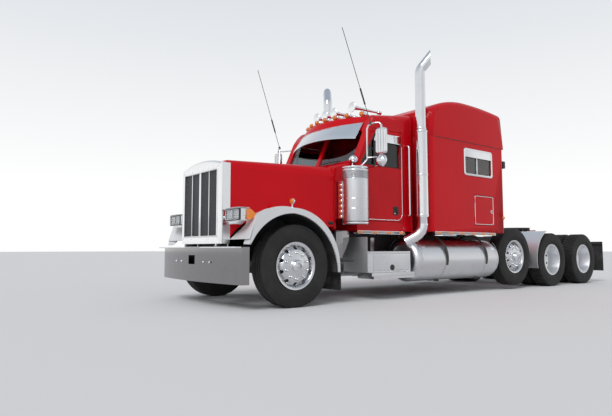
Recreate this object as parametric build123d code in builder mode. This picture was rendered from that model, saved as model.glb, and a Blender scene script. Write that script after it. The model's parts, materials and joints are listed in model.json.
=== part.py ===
from build123d import *
import os

os.makedirs("parts", exist_ok=True)

# Millimetres. X runs forward, Y to the driver's left and Z up, with the floor at zero.
# Axle line: overhangs and spacings, with the truck centred between bumper and rear flaps
FRONT_OVERHANG = 900
STEER_TO_PUSHER = 5055
PUSHER_TO_DRIVE = 1265
TANDEM_SPACING = 1320
REAR_OVERHANG = 910
LENGTH = FRONT_OVERHANG + STEER_TO_PUSHER + PUSHER_TO_DRIVE + TANDEM_SPACING + REAR_OVERHANG
BUMPER_X = LENGTH / 2
STEER_X = BUMPER_X - FRONT_OVERHANG
PUSHER_X = STEER_X - STEER_TO_PUSHER
DRIVE_X = PUSHER_X - PUSHER_TO_DRIVE
REAR_DRIVE_X = DRIVE_X - TANDEM_SPACING
REAR_X = -LENGTH / 2

# Clearances
SEAT = 0.3
RUN = 0.08
DOOR_GAP = 7
FACE_GAP = 12

# Tyres and wheels
TYRE_R = 527
TYRE_W = 280
TREAD_W = 220
RIM_R = 286
FLANGE_R = 305
RIM_W = 210
FLANGE_T = 12
BARREL_T = 22
DISC_T = 14
HAND_HOLES = 10
HAND_HOLE_R = 24
HAND_RING_R = 230
DRUM_R = 205
SINGLE_Y = 1030
SIDEWALL_RISE = 120
TREAD_SHOULDER = 12
TREAD_DROP = 22
DRUM_T = 14
WHEEL_FACE = 125
HUB_NOSE = 205
PLATE_R = DRUM_R - 30
DUAL_Y = 1085
DUAL_SPACING = 343
PUSHER_LIFT = 70
HUB_R = 75
SPINDLE_R = 30
DRIVE_SPINDLE_R = 45
KINGPIN_Y = 880
KINGPIN_R = 22

# Frame
RAIL_TOP = 980
RAIL_DEPTH = 270
RAIL_BOTTOM = RAIL_TOP - RAIL_DEPTH
FRAME_HALF = 430
RAIL_WEB = 10
RAIL_FLANGE = 80
RAIL_FRONT = STEER_X + 600
RAIL_REAR = REAR_X + 250

# Bumper, radiator shell and hood
BUMPER_HALF = 1160
BUMPER_LOW = 315
BUMPER_TOP = 766
BUMPER_SWEEP = 100
BUMPER_T = 12
SHELL_FRONT = STEER_X + 790
SHELL_DEPTH = 140
SHELL_HALF = 590
SHELL_LOW = 810
SHELL_CROWN = 1940
SHELL_SHOULDER = SHELL_CROWN - 80
SHELL_EDGE_R = 35
GRILLE_HALF = 490
GRILLE_LOW = 914
GRILLE_TOP = SHELL_CROWN - 160
HOOD_SKIN = 22
HOOD_REAR = STEER_X - 855
HOOD_REAR_TOP = SHELL_CROWN + 10
HOOD_REAR_LOW = 1060
HOOD_FRONT_LOW = 900
HOOD_SHOULDER_R = 200
PIVOT_X = STEER_X + 770
PIVOT_Z = 785
PIVOT_PIN_R = 12
LUG_R = 20
LUG_T = 20
LUG_GAP = 5

# Fenders
ARCH_R = 664
ARCH_FRONT = 712
ARCH_TOP = 1192
FENDER_HALF = BUMPER_HALF + 50
FENDER_SKIN = 16
FENDER_TOP = 1262
FENDER_CROWN = 80
FENDER_REAR = 690
FENDER_REAR_LOW = 430
FENDER_FRONT_LOW = 800

# Cab
CAB_HALF = 980
CAB_LOW = 1010
CAB_WALL = 50
COWL_BACK = 900
COWL_LENGTH = 315
CAB_LENGTH = 1205
COWL_STEP = 100
COWL_FRONT = STEER_X - COWL_BACK
COWL_REAR = COWL_FRONT - COWL_LENGTH
CAB_REAR = COWL_REAR - CAB_LENGTH
COWL_HALF = CAB_HALF - COWL_STEP
HOOD_REAR_HALF = COWL_HALF
ROOF_FRONT_Z = 2790
ROOF_REAR_Z = 2900
DOOR_LENGTH = 960
DOOR_FRONT = COWL_REAR - 25
DOOR_REAR = DOOR_FRONT - DOOR_LENGTH
DOOR_LOW = CAB_LOW + 150
DOOR_TOP = 2560
DOOR_RAKE = 330
BELT = 1980
COWL_LOW = 1400
COWL_DIP = 40
COWL_RISE = 70
GLASS_T = 6

# Sleeper
SLEEPER_LENGTH = 2170
SLEEPER_STEP = 240
BOOT_LENGTH = 60
SLEEPER_FRONT = CAB_REAR - BOOT_LENGTH
SLEEPER_REAR = SLEEPER_FRONT - SLEEPER_LENGTH
SLEEPER_HALF = CAB_HALF + SLEEPER_STEP
SLEEPER_LOW = CAB_LOW + 10
SLEEPER_SEAM = 2550
SLEEPER_TOP = 3250
SLEEPER_WALL = 40
CORNER_X = SLEEPER_FRONT - 190
CORNER_HALF = CAB_HALF - 30


def write(piece, label):
    piece.part.label = label
    export_step(piece.part, f"parts/{label}.step")


def side_plane(y):
    """A plane facing the truck's right, with X forward and Z up, at the given Y."""
    return Plane(origin=(0, y, 0), x_dir=(1, 0, 0), z_dir=(0, -1, 0))


def front_plane(x):
    """A plane facing forward, with local X along +Y and Z up, at the given X."""
    return Plane(origin=(x, 0, 0), x_dir=(0, 1, 0), z_dir=(1, 0, 0))


def wheel_plane(x, y, z):
    """The plane through a wheel's centre that holds its axis, local X along +Y."""
    return Plane(origin=(x, y, z), x_dir=(0, 1, 0), z_dir=(1, 0, 0))


def axle_line(x, z):
    return Axis((x, 0, z), (0, 1, 0))


# Tyres, in half width and radius from the tyre's centre
TYRE_SECTION = (
    (RIM_W / 2 - SEAT, RIM_R + SEAT),
    (RIM_W / 2 - SEAT, FLANGE_R + SEAT),
    (TYRE_W / 2, RIM_R + SIDEWALL_RISE),
    (TREAD_W / 2 + TREAD_SHOULDER, TYRE_R - TREAD_DROP),
    (TREAD_W / 2, TYRE_R),
)


def make_tyre(label, x, z, centres):
    with BuildPart() as tyre:
        for y in centres:
            with BuildSketch(wheel_plane(x, y, z)):
                right = [(-half, radius) for half, radius in TYRE_SECTION]
                left = [(half, radius) for half, radius in reversed(TYRE_SECTION)]
                with BuildLine():
                    Polyline(*right, *left, close=True)
                make_face()
            revolve(axis=axle_line(x, z))
    write(tyre, label)


def rim_section(offset):
    """A rim barrel with its two flanges, as (local X, radius) points."""
    inner = RIM_R - BARREL_T
    half = RIM_W / 2
    out = half + FLANGE_T
    points = ((-out, inner), (-out, FLANGE_R), (-half, FLANGE_R), (-half, RIM_R),
              (half, RIM_R), (half, FLANGE_R), (out, FLANGE_R), (out, inner))
    return [(x + offset, radius) for x, radius in points]


def make_single_wheel(label, x, z, side):
    """A convex wheel with its hub and brake drum, bored for the axle's spindle."""
    inner = RIM_R - BARREL_T
    face = WHEEL_FACE
    back = face - DISC_T
    root = HUB_R - 10
    nut_band = 150
    disc = [(30, inner), (60, inner), (face - 7, DRUM_R), (face, nut_band), (face, root),
            (back, root), (back, nut_band - 5), (back - 7, DRUM_R - 7), (46, inner - 10), (30, inner - 10)]
    drum = [(-95, DRUM_R), (back, DRUM_R - 45), (back, root), (48, root), (40, PLATE_R), (-95,
                                                                                          DRUM_R - DRUM_T)]
    hub = [(-80, SPINDLE_R + RUN), (-80, HUB_R), (nut_band, HUB_R), (HUB_NOSE - 30, HUB_R - 20),
           (HUB_NOSE, 12),
           (HUB_NOSE, 0), (135, 0), (135, SPINDLE_R + RUN)]
    with BuildPart() as wheel:
        with BuildSketch(wheel_plane(x, side * SINGLE_Y, z)):
            for section in (rim_section(0), disc, drum, hub):
                with BuildLine():
                    Polyline(*[(side * across, radius) for across, radius in section], close=True)
                make_face()
        revolve(axis=axle_line(x, z))
        with BuildSketch(Plane(origin=(x, side * (SINGLE_Y + WHEEL_FACE + 45), z), z_dir=(0, side, 0))):
            with PolarLocations(HAND_RING_R, HAND_HOLES):
                Circle(HAND_HOLE_R)
        extrude(amount=-120, mode=Mode.SUBTRACT)
    write(wheel, label)


def make_dual_wheel(label, x, z, side):
    """Two dished wheels bolted back to back on one hub with its brake drum."""
    inner = RIM_R - BARREL_T
    half = DUAL_SPACING / 2
    outer_disc = [(0, HUB_R), (DISC_T, HUB_R), (DISC_T, 185), (72, inner), (52, inner), (0, 192)]
    inner_disc = [(-across, radius) for across, radius in outer_disc]
    drum = [(-290, DRUM_R), (0, DRUM_R - 20), (0, HUB_R), (-30, HUB_R), (-30, DRUM_R - 40),
            (-290, DRUM_R - DRUM_T)]
    hub = [(-150, DRIVE_SPINDLE_R + RUN), (-150, HUB_R + 20), (120, HUB_R + 20), (150, HUB_R - 15), (150, 0),
           (90, 0), (90, DRIVE_SPINDLE_R + RUN)]
    with BuildPart() as wheel:
        with BuildSketch(wheel_plane(x, side * (DUAL_Y - half), z)):
            for section in (rim_section(half), rim_section(-half), outer_disc, inner_disc, drum, hub):
                with BuildLine():
                    Polyline(*[(side * across, radius) for across, radius in section], close=True)
                make_face()
        revolve(axis=axle_line(x, z))
        with BuildSketch(Plane(origin=(x, side * DUAL_Y, z), z_dir=(0, side, 0))):
            with PolarLocations(HAND_RING_R, HAND_HOLES):
                Circle(HAND_HOLE_R)
        extrude(amount=-DUAL_SPACING, mode=Mode.SUBTRACT)
    write(wheel, label)


PUSHER_Z = TYRE_R + PUSHER_LIFT
SIDES = (("left", 1), ("right", -1))
for side_name, side in SIDES:
    make_tyre(f"steer_tyre_{side_name}", STEER_X, TYRE_R, [side * SINGLE_Y])
    make_single_wheel(f"steer_wheel_{side_name}", STEER_X, TYRE_R, side)
    make_tyre(f"pusher_tyre_{side_name}", PUSHER_X, PUSHER_Z, [side * SINGLE_Y])
    make_single_wheel(f"pusher_wheel_{side_name}", PUSHER_X, PUSHER_Z, side)
    duals = [side * DUAL_Y, side * (DUAL_Y - DUAL_SPACING)]
    make_tyre(f"front_drive_tyres_{side_name}", DRIVE_X, TYRE_R, duals)
    make_dual_wheel(f"front_drive_wheels_{side_name}", DRIVE_X, TYRE_R, side)
    make_tyre(f"rear_drive_tyres_{side_name}", REAR_DRIVE_X, TYRE_R, duals)
    make_dual_wheel(f"rear_drive_wheels_{side_name}", REAR_DRIVE_X, TYRE_R, side)

# Steer axle: a dropped beam between two kingpin bosses, with its spring pads
BOSS_R = 46
BOSS_LOW = TYRE_R - 65
BOSS_TOP = TYRE_R + 65
BEAM_W = 90
BEAM_LOW = 400
BEAM_DEPTH = 95
BEAM_END = 15
BEAM_SHOULDER = 130
BEAM_DIP = 150
PAD_Y = FRAME_HALF - RAIL_FLANGE / 2
BEAM_TOP = BEAM_LOW + BEAM_DEPTH
with BuildPart() as steer_axle:
    with BuildSketch(front_plane(STEER_X - BEAM_W / 2)):
        with BuildLine():
            low = BOSS_LOW + BEAM_END
            top = BOSS_TOP - BEAM_END
            shoulder = KINGPIN_Y - BEAM_SHOULDER
            dip = PAD_Y + BEAM_DIP
            Polyline((-KINGPIN_Y, low), (-shoulder, low), (-dip, BEAM_LOW), (dip, BEAM_LOW), (shoulder, low),
                     (KINGPIN_Y, low), (KINGPIN_Y, top), (shoulder, top), (dip, BEAM_TOP), (-dip, BEAM_TOP),
                     (-shoulder, top), (-KINGPIN_Y, top), close=True)
        make_face()
    extrude(amount=BEAM_W)
    for side in (1, -1):
        with BuildSketch(Plane(origin=(STEER_X, side * KINGPIN_Y, BOSS_LOW))):
            Circle(BOSS_R)
        extrude(amount=BOSS_TOP - BOSS_LOW)
        with BuildSketch(Plane(origin=(STEER_X, side * KINGPIN_Y, BOSS_LOW))):
            Circle(KINGPIN_R + RUN)
        extrude(amount=BOSS_TOP - BOSS_LOW, mode=Mode.SUBTRACT)
write(steer_axle, "steer_axle")

# Steering knuckles: a yoke over the kingpin boss, the kingpin, brake plate and spindle
YOKE_T = 42
YOKE_GAP = 1
PLATE_Y = SINGLE_Y - 98
PLATE_T = 10
YOKE_REACH = PLATE_Y - KINGPIN_Y
SPINDLE_END = SINGLE_Y + 125
for side_name, side in SIDES:
    with BuildPart() as knuckle:
        for low in (BOSS_LOW - YOKE_GAP - YOKE_T, BOSS_TOP + YOKE_GAP):
            with BuildSketch(Plane(origin=(STEER_X, side * KINGPIN_Y, low))):
                Circle(BOSS_R)
                with Locations((0, side * YOKE_REACH / 2)):
                    Rectangle(2 * BOSS_R, YOKE_REACH)
            extrude(amount=YOKE_T)
        with BuildSketch(Plane(origin=(STEER_X, side * KINGPIN_Y, BOSS_LOW - YOKE_GAP - YOKE_T))):
            Circle(KINGPIN_R)
        extrude(amount=BOSS_TOP - BOSS_LOW + 2 * (YOKE_GAP + YOKE_T))
        with BuildSketch(side_plane(side * PLATE_Y)):
            with Locations((STEER_X, TYRE_R)):
                Circle(PLATE_R)
        extrude(amount=-side * PLATE_T)
        with BuildSketch(side_plane(side * (PLATE_Y + PLATE_T))):
            with Locations((STEER_X, TYRE_R)):
                Rectangle(2 * BOSS_R, BOSS_TOP - BOSS_LOW + 2 * (YOKE_GAP + YOKE_T))
        extrude(amount=side * (YOKE_REACH + PLATE_T - BOSS_R - 2))
        with BuildSketch(side_plane(side * PLATE_Y)):
            with Locations((STEER_X, TYRE_R)):
                Circle(SPINDLE_R)
        extrude(amount=-side * (SPINDLE_END - PLATE_Y))
    write(knuckle, f"knuckle_{side_name}")

# Pusher axle: a beam dropped under the drive shaft, with its plates and spindles
PUSHER_BEAM_R = 60
PUSHER_DROP = 200
PUSHER_BEND_Y = 560
PUSHER_BEND_OUT = 100
PUSHER_BEND_IN = 60
with BuildPart() as pusher_axle:
    with BuildSketch(front_plane(PUSHER_X - PUSHER_BEAM_R)):
        with BuildLine():
            low = PUSHER_Z - PUSHER_BEAM_R
            top = PUSHER_Z + PUSHER_BEAM_R
            outer = PUSHER_BEND_Y + PUSHER_BEND_OUT
            inner = PUSHER_BEND_Y - PUSHER_BEND_IN
            Polyline((-PLATE_Y, low), (-outer, low), (-inner, low - PUSHER_DROP), (inner, low - PUSHER_DROP),
                     (outer, low), (PLATE_Y, low), (PLATE_Y, top), (outer, top), (inner, top - PUSHER_DROP),
                     (-inner, top - PUSHER_DROP), (-outer, top), (-PLATE_Y, top), close=True)
        make_face()
    extrude(amount=2 * PUSHER_BEAM_R)
    for side in (1, -1):
        with BuildSketch(side_plane(side * PLATE_Y)):
            with Locations((PUSHER_X, PUSHER_Z)):
                Circle(PLATE_R)
        extrude(amount=-side * PLATE_T)
        with BuildSketch(side_plane(side * PLATE_Y)):
            with Locations((PUSHER_X, PUSHER_Z)):
                Circle(SPINDLE_R)
        extrude(amount=-side * (SPINDLE_END - PLATE_Y))
write(pusher_axle, "pusher_axle")

# Drive axles: a tube with a bowl, brake plates and spindles, joined by the shafts
AXLE_TUBE_R = 72
BOWL_R = 215
BOWL_T = 260
SHAFT_R = 55
SHAFT_Z = 640
DRIVE_PLATE_Y = DUAL_Y - DUAL_SPACING / 2 - 295
DRIVE_SPINDLE_END = DUAL_Y - DUAL_SPACING / 2 + 80
GEARBOX_REAR = STEER_X - 1750
with BuildPart() as drive_axles:
    for x in (DRIVE_X, REAR_DRIVE_X):
        with BuildSketch(side_plane(-DRIVE_PLATE_Y)):
            with Locations((x, TYRE_R)):
                Circle(AXLE_TUBE_R)
        extrude(amount=-2 * DRIVE_PLATE_Y)
        with BuildSketch(front_plane(x - BOWL_T / 2)):
            with Locations((0, TYRE_R)):
                Circle(BOWL_R)
        extrude(amount=BOWL_T)
        with BuildSketch(side_plane(-DRIVE_SPINDLE_END)):
            with Locations((x, TYRE_R)):
                Circle(DRIVE_SPINDLE_R)
        extrude(amount=-2 * DRIVE_SPINDLE_END)
        for side in (1, -1):
            with BuildSketch(side_plane(side * DRIVE_PLATE_Y)):
                with Locations((x, TYRE_R)):
                    Circle(PLATE_R)
            extrude(amount=side * PLATE_T)
    with BuildSketch(front_plane(REAR_DRIVE_X)):
        with Locations((0, SHAFT_Z)):
            Circle(SHAFT_R)
    extrude(amount=GEARBOX_REAR - REAR_DRIVE_X)
write(drive_axles, "drive_axles")

# Engine and gearbox as one plain mass, and the radiator standing on the rails
ENGINE_FRONT = STEER_X + 400
ENGINE_REAR = STEER_X - 800
ENGINE_HALF = 320
ENGINE_LOW = 600
ENGINE_TOP = SHELL_CROWN - 340
RADIATOR_TOP = GRILLE_TOP - 80
GEARBOX_HALF = 230
RADIATOR_X = STEER_X + 500
RADIATOR_T = 90
RADIATOR_HALF = 450
with BuildPart() as engine:
    with BuildSketch(side_plane(ENGINE_HALF)):
        with BuildLine():
            Polyline((ENGINE_REAR, ENGINE_LOW), (ENGINE_FRONT, ENGINE_LOW), (ENGINE_FRONT, ENGINE_TOP),
                     (ENGINE_REAR, ENGINE_TOP), close=True)
        make_face()
    extrude(amount=2 * ENGINE_HALF)
    with BuildSketch(side_plane(GEARBOX_HALF)):
        with BuildLine():
            Polyline((GEARBOX_REAR, SHAFT_Z - 110), (ENGINE_REAR, ENGINE_LOW), (ENGINE_REAR, RAIL_TOP - 20),
                     (GEARBOX_REAR, SHAFT_Z + 190), close=True)
        make_face()
    extrude(amount=2 * GEARBOX_HALF)
    with BuildSketch(front_plane(RADIATOR_X)):
        with BuildLine():
            Polyline((-RADIATOR_HALF, RAIL_TOP), (RADIATOR_HALF, RAIL_TOP), (RADIATOR_HALF, RADIATOR_TOP),
                     (-RADIATOR_HALF, RADIATOR_TOP), close=True)
        make_face()
    extrude(amount=RADIATOR_T)
write(engine, "engine")

# Frame rails: two channels whose open sides face each other, with the pads under cab and sleeper
PAD_L = 160
with BuildPart() as frame_rails:
    for side in (1, -1):
        with BuildSketch(front_plane(RAIL_REAR)):
            with BuildLine():
                Polyline(*[(side * across, up) for across, up in (
                    (FRAME_HALF, RAIL_BOTTOM), (FRAME_HALF, RAIL_TOP), (FRAME_HALF - RAIL_FLANGE, RAIL_TOP),
                    (FRAME_HALF - RAIL_FLANGE, RAIL_TOP - RAIL_WEB),
                    (FRAME_HALF - RAIL_WEB, RAIL_TOP - RAIL_WEB),
                    (FRAME_HALF - RAIL_WEB, RAIL_BOTTOM + RAIL_WEB),
                    (FRAME_HALF - RAIL_FLANGE, RAIL_BOTTOM + RAIL_WEB),
                    (FRAME_HALF - RAIL_FLANGE, RAIL_BOTTOM))], close=True)
            make_face()
        extrude(amount=RAIL_FRONT - RAIL_REAR)
        for x, top in ((COWL_REAR - 120, CAB_LOW), (CAB_REAR + 120, CAB_LOW), (SLEEPER_FRONT - 220,
                                                                               SLEEPER_LOW),
                       (SLEEPER_REAR + 180, SLEEPER_LOW)):
            with BuildSketch(Plane(origin=(x, side * (FRAME_HALF - RAIL_FLANGE / 2), RAIL_TOP))):
                Rectangle(PAD_L, RAIL_FLANGE)
            extrude(amount=top - RAIL_TOP)
write(frame_rails, "frame_rails")

# Crossmembers between the rail webs
CROSS_HALF = FRAME_HALF - RAIL_WEB
CROSS_T = 60
CROSS_BAND = RAIL_DEPTH - 2 * RAIL_WEB - 60
CROSS_STATIONS = (RAIL_FRONT - 60, SLEEPER_FRONT, (SLEEPER_FRONT + SLEEPER_REAR) / 2, SLEEPER_REAR,
                  PUSHER_X - 420, DRIVE_X + 420, (DRIVE_X + REAR_DRIVE_X) / 2, RAIL_REAR + 60)
with BuildPart() as crossmembers:
    for x in CROSS_STATIONS:
        with BuildSketch(side_plane(CROSS_HALF)):
            with Locations((x, RAIL_TOP - RAIL_WEB - 10 - CROSS_BAND / 2)):
                Rectangle(CROSS_T, CROSS_BAND)
                Rectangle(2 * CROSS_T, CROSS_BAND / 3)
        extrude(amount=2 * CROSS_HALF)
write(crossmembers, "crossmembers")

# Bumper: one deep swept blade with wrapped ends, a tow opening and two brackets to the rails
TOW_W = 190
TOW_H = 120
TOW_Z = 600
WRAP_X = STEER_X + 700
BRACKET_T = 25
BRACKET_LOW = 480
bumper_end = BUMPER_X - BUMPER_SWEEP
bracket_end = BUMPER_X - BUMPER_SWEEP * (FRAME_HALF / BUMPER_HALF) ** 2 - BUMPER_T / 2
with BuildPart() as bumper:
    with BuildSketch(Plane.XY.offset(BUMPER_LOW)):
        with BuildLine():
            Line((WRAP_X, -BUMPER_HALF), (bumper_end, -BUMPER_HALF))
            ThreePointArc((bumper_end, -BUMPER_HALF), (BUMPER_X, 0), (bumper_end, BUMPER_HALF))
            Line((bumper_end, BUMPER_HALF), (WRAP_X, BUMPER_HALF))
            Line((WRAP_X, BUMPER_HALF), (WRAP_X, BUMPER_HALF - BUMPER_T))
            Line((WRAP_X, BUMPER_HALF - BUMPER_T), (bumper_end - BUMPER_T, BUMPER_HALF - BUMPER_T))
            ThreePointArc((bumper_end - BUMPER_T, BUMPER_HALF - BUMPER_T), (BUMPER_X - BUMPER_T, 0),
                          (bumper_end - BUMPER_T, -BUMPER_HALF + BUMPER_T))
            Line((bumper_end - BUMPER_T, -BUMPER_HALF + BUMPER_T), (WRAP_X, -BUMPER_HALF + BUMPER_T))
            Line((WRAP_X, -BUMPER_HALF + BUMPER_T), (WRAP_X, -BUMPER_HALF))
        make_face()
    extrude(amount=BUMPER_TOP - BUMPER_LOW)
    with BuildSketch(front_plane(bumper_end)):
        with Locations((0, TOW_Z)):
            Rectangle(TOW_W, TOW_H)
    extrude(amount=BUMPER_SWEEP, mode=Mode.SUBTRACT)
    for side in (1, -1):
        with BuildSketch(side_plane(side * FRAME_HALF)):
            with BuildLine():
                Polyline((RAIL_FRONT - 250, BRACKET_LOW + 200), (RAIL_FRONT, BRACKET_LOW),
                         (bracket_end, BRACKET_LOW), (bracket_end, BUMPER_TOP - 20),
                         (PIVOT_X + 25, PIVOT_Z - 40), (PIVOT_X + 20, PIVOT_Z), (PIVOT_X - 20, PIVOT_Z),
                         (PIVOT_X - 25, PIVOT_Z - 40), (RAIL_FRONT, RAIL_BOTTOM + 60),
                         (RAIL_FRONT, RAIL_TOP - 40), (RAIL_FRONT - 250, RAIL_TOP - 40), close=True)
            make_face()
        extrude(amount=-side * BRACKET_T)
        with BuildSketch(side_plane(side * FRAME_HALF)):
            with Locations((PIVOT_X, PIVOT_Z)):
                Circle(PIVOT_PIN_R)
        extrude(amount=-side * (BRACKET_T + LUG_GAP + LUG_T + 6))
write(bumper, "bumper")

# Radiator shell: a bright surround with a crowned top, rounded front edge, grille opening and bars
SHELL_REAR = SHELL_FRONT - SHELL_DEPTH
BAR_W = 40
THIN_BAR_W = 16
BAR_BACK = 60
BAR_T = 30
GRILLE_H = GRILLE_TOP - GRILLE_LOW
GRILLE_Z = (GRILLE_TOP + GRILLE_LOW) / 2
with BuildPart() as radiator_shell:
    with BuildSketch(front_plane(SHELL_REAR)):
        with BuildLine():
            Polyline((-SHELL_HALF, SHELL_SHOULDER), (-SHELL_HALF, SHELL_LOW), (SHELL_HALF, SHELL_LOW),
                     (SHELL_HALF, SHELL_SHOULDER))
            ThreePointArc((SHELL_HALF, SHELL_SHOULDER), (0, SHELL_CROWN), (-SHELL_HALF, SHELL_SHOULDER))
        make_face()
    extrude(amount=SHELL_DEPTH)
    fillet(radiator_shell.faces().sort_by(Axis.X)[-1].edges().sort_by(Axis.Z)[1:], SHELL_EDGE_R)
    with BuildSketch(front_plane(SHELL_REAR)):
        with Locations((0, GRILLE_Z)):
            Rectangle(2 * GRILLE_HALF, GRILLE_H)
    extrude(amount=SHELL_DEPTH, mode=Mode.SUBTRACT)
    with BuildSketch(front_plane(SHELL_REAR + BAR_BACK)):
        with Locations((0, GRILLE_Z)):
            Rectangle(BAR_W, GRILLE_H)
        for side in (1, -1):
            with Locations((side * GRILLE_HALF / 2, GRILLE_Z)):
                Rectangle(THIN_BAR_W, GRILLE_H)
    extrude(amount=BAR_T)
    for side in (1, -1):
        with BuildSketch(side_plane(side * (FRAME_HALF + BRACKET_T + LUG_GAP))):
            with Locations((PIVOT_X, PIVOT_Z)):
                Circle(LUG_R)
            with BuildLine():
                Polyline((PIVOT_X - LUG_R, PIVOT_Z), (PIVOT_X + LUG_R, PIVOT_Z), (PIVOT_X + LUG_R,
                                                                                  SHELL_LOW),
                         (PIVOT_X - LUG_R, SHELL_LOW), close=True)
            make_face()
            with Locations((PIVOT_X, PIVOT_Z)):
                Circle(PIVOT_PIN_R + RUN, mode=Mode.SUBTRACT)
        extrude(amount=-side * LUG_T)
write(radiator_shell, "radiator_shell")

# Grille: one dark panel behind the bars, pierced with rows of slots in four columns
MESH_T = 8
MESH_ROWS = 24
MESH_RIB = 9
MESH_COLUMN = GRILLE_HALF / 2
mesh_pitch = (GRILLE_H - 2 * SEAT - MESH_RIB) / MESH_ROWS
with BuildPart() as grille:
    with BuildSketch(front_plane(SHELL_REAR + BAR_BACK - SEAT - MESH_T)):
        with Locations((0, GRILLE_Z)):
            Rectangle(2 * (GRILLE_HALF - SEAT), GRILLE_H - 2 * SEAT)
            with GridLocations(MESH_COLUMN, mesh_pitch, 4, MESH_ROWS):
                Rectangle(MESH_COLUMN - BAR_W, mesh_pitch - MESH_RIB, mode=Mode.SUBTRACT)
    extrude(amount=MESH_T)
write(grille, "grille")


def hood_section(x, half, low, top, radius):
    """A hood cross-section, flat below, with round shoulders and a lightly crowned top."""
    with BuildSketch(front_plane(x)) as section:
        with BuildLine():
            Line((-half, low), (half, low))
            Line((half, low), (half, top - radius))
            corner = half - radius * 0.29
            flat = half - radius
            brow = top - radius * 0.08
            ThreePointArc((half, top - radius), (corner, top - radius * 0.33), (flat, brow))
            ThreePointArc((flat, brow), (0, top), (-flat, brow))
            ThreePointArc((-flat, brow), (-corner, top - radius * 0.33), (-half, top - radius))
            Line((-half, top - radius), (-half, low))
        make_face()
    return section.sketch


# Hood: one long tapered shell from the radiator shell back to the cowl
hood_front_top = SHELL_CROWN - 20
front_radius = HOOD_SHOULDER_R * 0.6


def hood_pair(grow, low_drop):
    """The hood's front and rear sections, grown outward by an amount and lowered at the foot."""
    return (
        hood_section(SHELL_REAR, SHELL_HALF + grow, HOOD_FRONT_LOW - low_drop, hood_front_top + grow,
                     front_radius + grow),
        hood_section(HOOD_REAR, HOOD_REAR_HALF + grow, HOOD_REAR_LOW - low_drop, HOOD_REAR_TOP + grow,
                     HOOD_SHOULDER_R + grow),
    )


def arch_face(y):
    """The wheel opening's side outline, open to the ground, as a face at the given Y."""
    rear = STEER_X - ARCH_R
    front = STEER_X + ARCH_FRONT
    with BuildSketch(side_plane(y)) as opening:
        with BuildLine():
            Line((rear, 0), (rear, FENDER_REAR_LOW))
            ThreePointArc((rear, FENDER_REAR_LOW), (STEER_X - 340, 1036), (STEER_X + 60, ARCH_TOP))
            ThreePointArc((STEER_X + 60, ARCH_TOP), (STEER_X + 400, 1112), (front, 790))
            Line((front, 790), (front, 0))
            Line((front, 0), (rear, 0))
        make_face()
    return opening.sketch


with BuildPart() as hood:
    loft(hood_pair(0, 0))
    loft(hood_pair(-HOOD_SKIN, 400), mode=Mode.SUBTRACT)
    extrude(arch_face(HOOD_REAR_HALF), amount=2 * HOOD_REAR_HALF, mode=Mode.SUBTRACT)
write(hood, "hood")


def fender_section(y, front, drop, nose_run, nose_drop, skin):
    """A fender's side outline over the wheel, as a face at the given Y."""
    top = FENDER_TOP - drop - skin
    rear = STEER_X - FENDER_REAR + skin
    front_low = STEER_X + front - skin
    front_high = front_low - nose_run
    crown = STEER_X + FENDER_CROWN
    brow = front_high - (front_high - crown) * 0.29
    foot = 10 * skin
    with BuildSketch(side_plane(y)) as section:
        with BuildLine():
            Line((rear, FENDER_REAR_LOW - foot), (rear, FENDER_REAR_LOW + 70))
            ThreePointArc((rear, FENDER_REAR_LOW + 70), (rear + 165, top - 295), (crown, top))
            ThreePointArc((crown, top), (brow, top - nose_drop * 0.28), (front_high, top - nose_drop))
            Line((front_high, top - nose_drop), (front_low, FENDER_FRONT_LOW - foot))
            Line((front_low, FENDER_FRONT_LOW - foot), (rear, FENDER_REAR_LOW - foot))
        make_face()
    return section.sketch


# Fenders: a skin lofted from the hood side out to the lip, with a turned edge round the arch
FENDER_INNER = SHELL_HALF + 2
FENDER_LIP = 30
with BuildPart() as fenders:
    for side in (1, -1):
        loft((fender_section(side * FENDER_INNER, 650, 25, 220, 187, 0),
              fender_section(side * FENDER_HALF, 730, 0, 100, 100, 0)))
        loft((fender_section(side * (FENDER_INNER - 40), 645, 27, 228, 193, FENDER_SKIN),
              fender_section(side * (FENDER_HALF - FENDER_LIP), 727, 0, 105, 104, FENDER_SKIN)),
             mode=Mode.SUBTRACT)
        extrude(arch_face(side * (FENDER_INNER - 50)), amount=-side * (FENDER_HALF - FENDER_INNER + 100),
                mode=Mode.SUBTRACT)
    loft(hood_pair(SEAT, SEAT), mode=Mode.SUBTRACT)
write(fenders, "fenders")

# Headlamp pods: a rounded chrome box each side, carried by an arm from the radiator shell
POD_FRONT = STEER_X + 760
POD_REAR = STEER_X + 630
POD_IN = 680
POD_OUT = 1050
POD_LOW = 1085
POD_TOP = 1245
POD_CORNER_R = 22
POD_ARM_R = 22
POD_ARM_RISE = 60
with BuildPart() as headlamps:
    for side in (1, -1):
        with BuildSketch(front_plane(POD_REAR)):
            with Locations((side * (POD_IN + POD_OUT) / 2, (POD_LOW + POD_TOP) / 2)):
                RectangleRounded(POD_OUT - POD_IN, POD_TOP - POD_LOW, POD_CORNER_R)
        extrude(amount=POD_FRONT - POD_REAR)
        with BuildSketch(side_plane(side * SHELL_HALF)):
            with Locations(((POD_FRONT + POD_REAR) / 2, POD_LOW + POD_ARM_RISE)):
                Circle(POD_ARM_R)
        extrude(amount=-side * (POD_IN - SHELL_HALF + 10))
write(headlamps, "headlamps")

# Cab: one hollow shell in the side outline, with its windshield, doors and rear pass cut
ROOF_R = 110
PILLAR_TOP_X = COWL_REAR - 285
ROOF_FRONT_X = PILLAR_TOP_X - 130
PILLAR_TOP_Z = 2600


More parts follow.
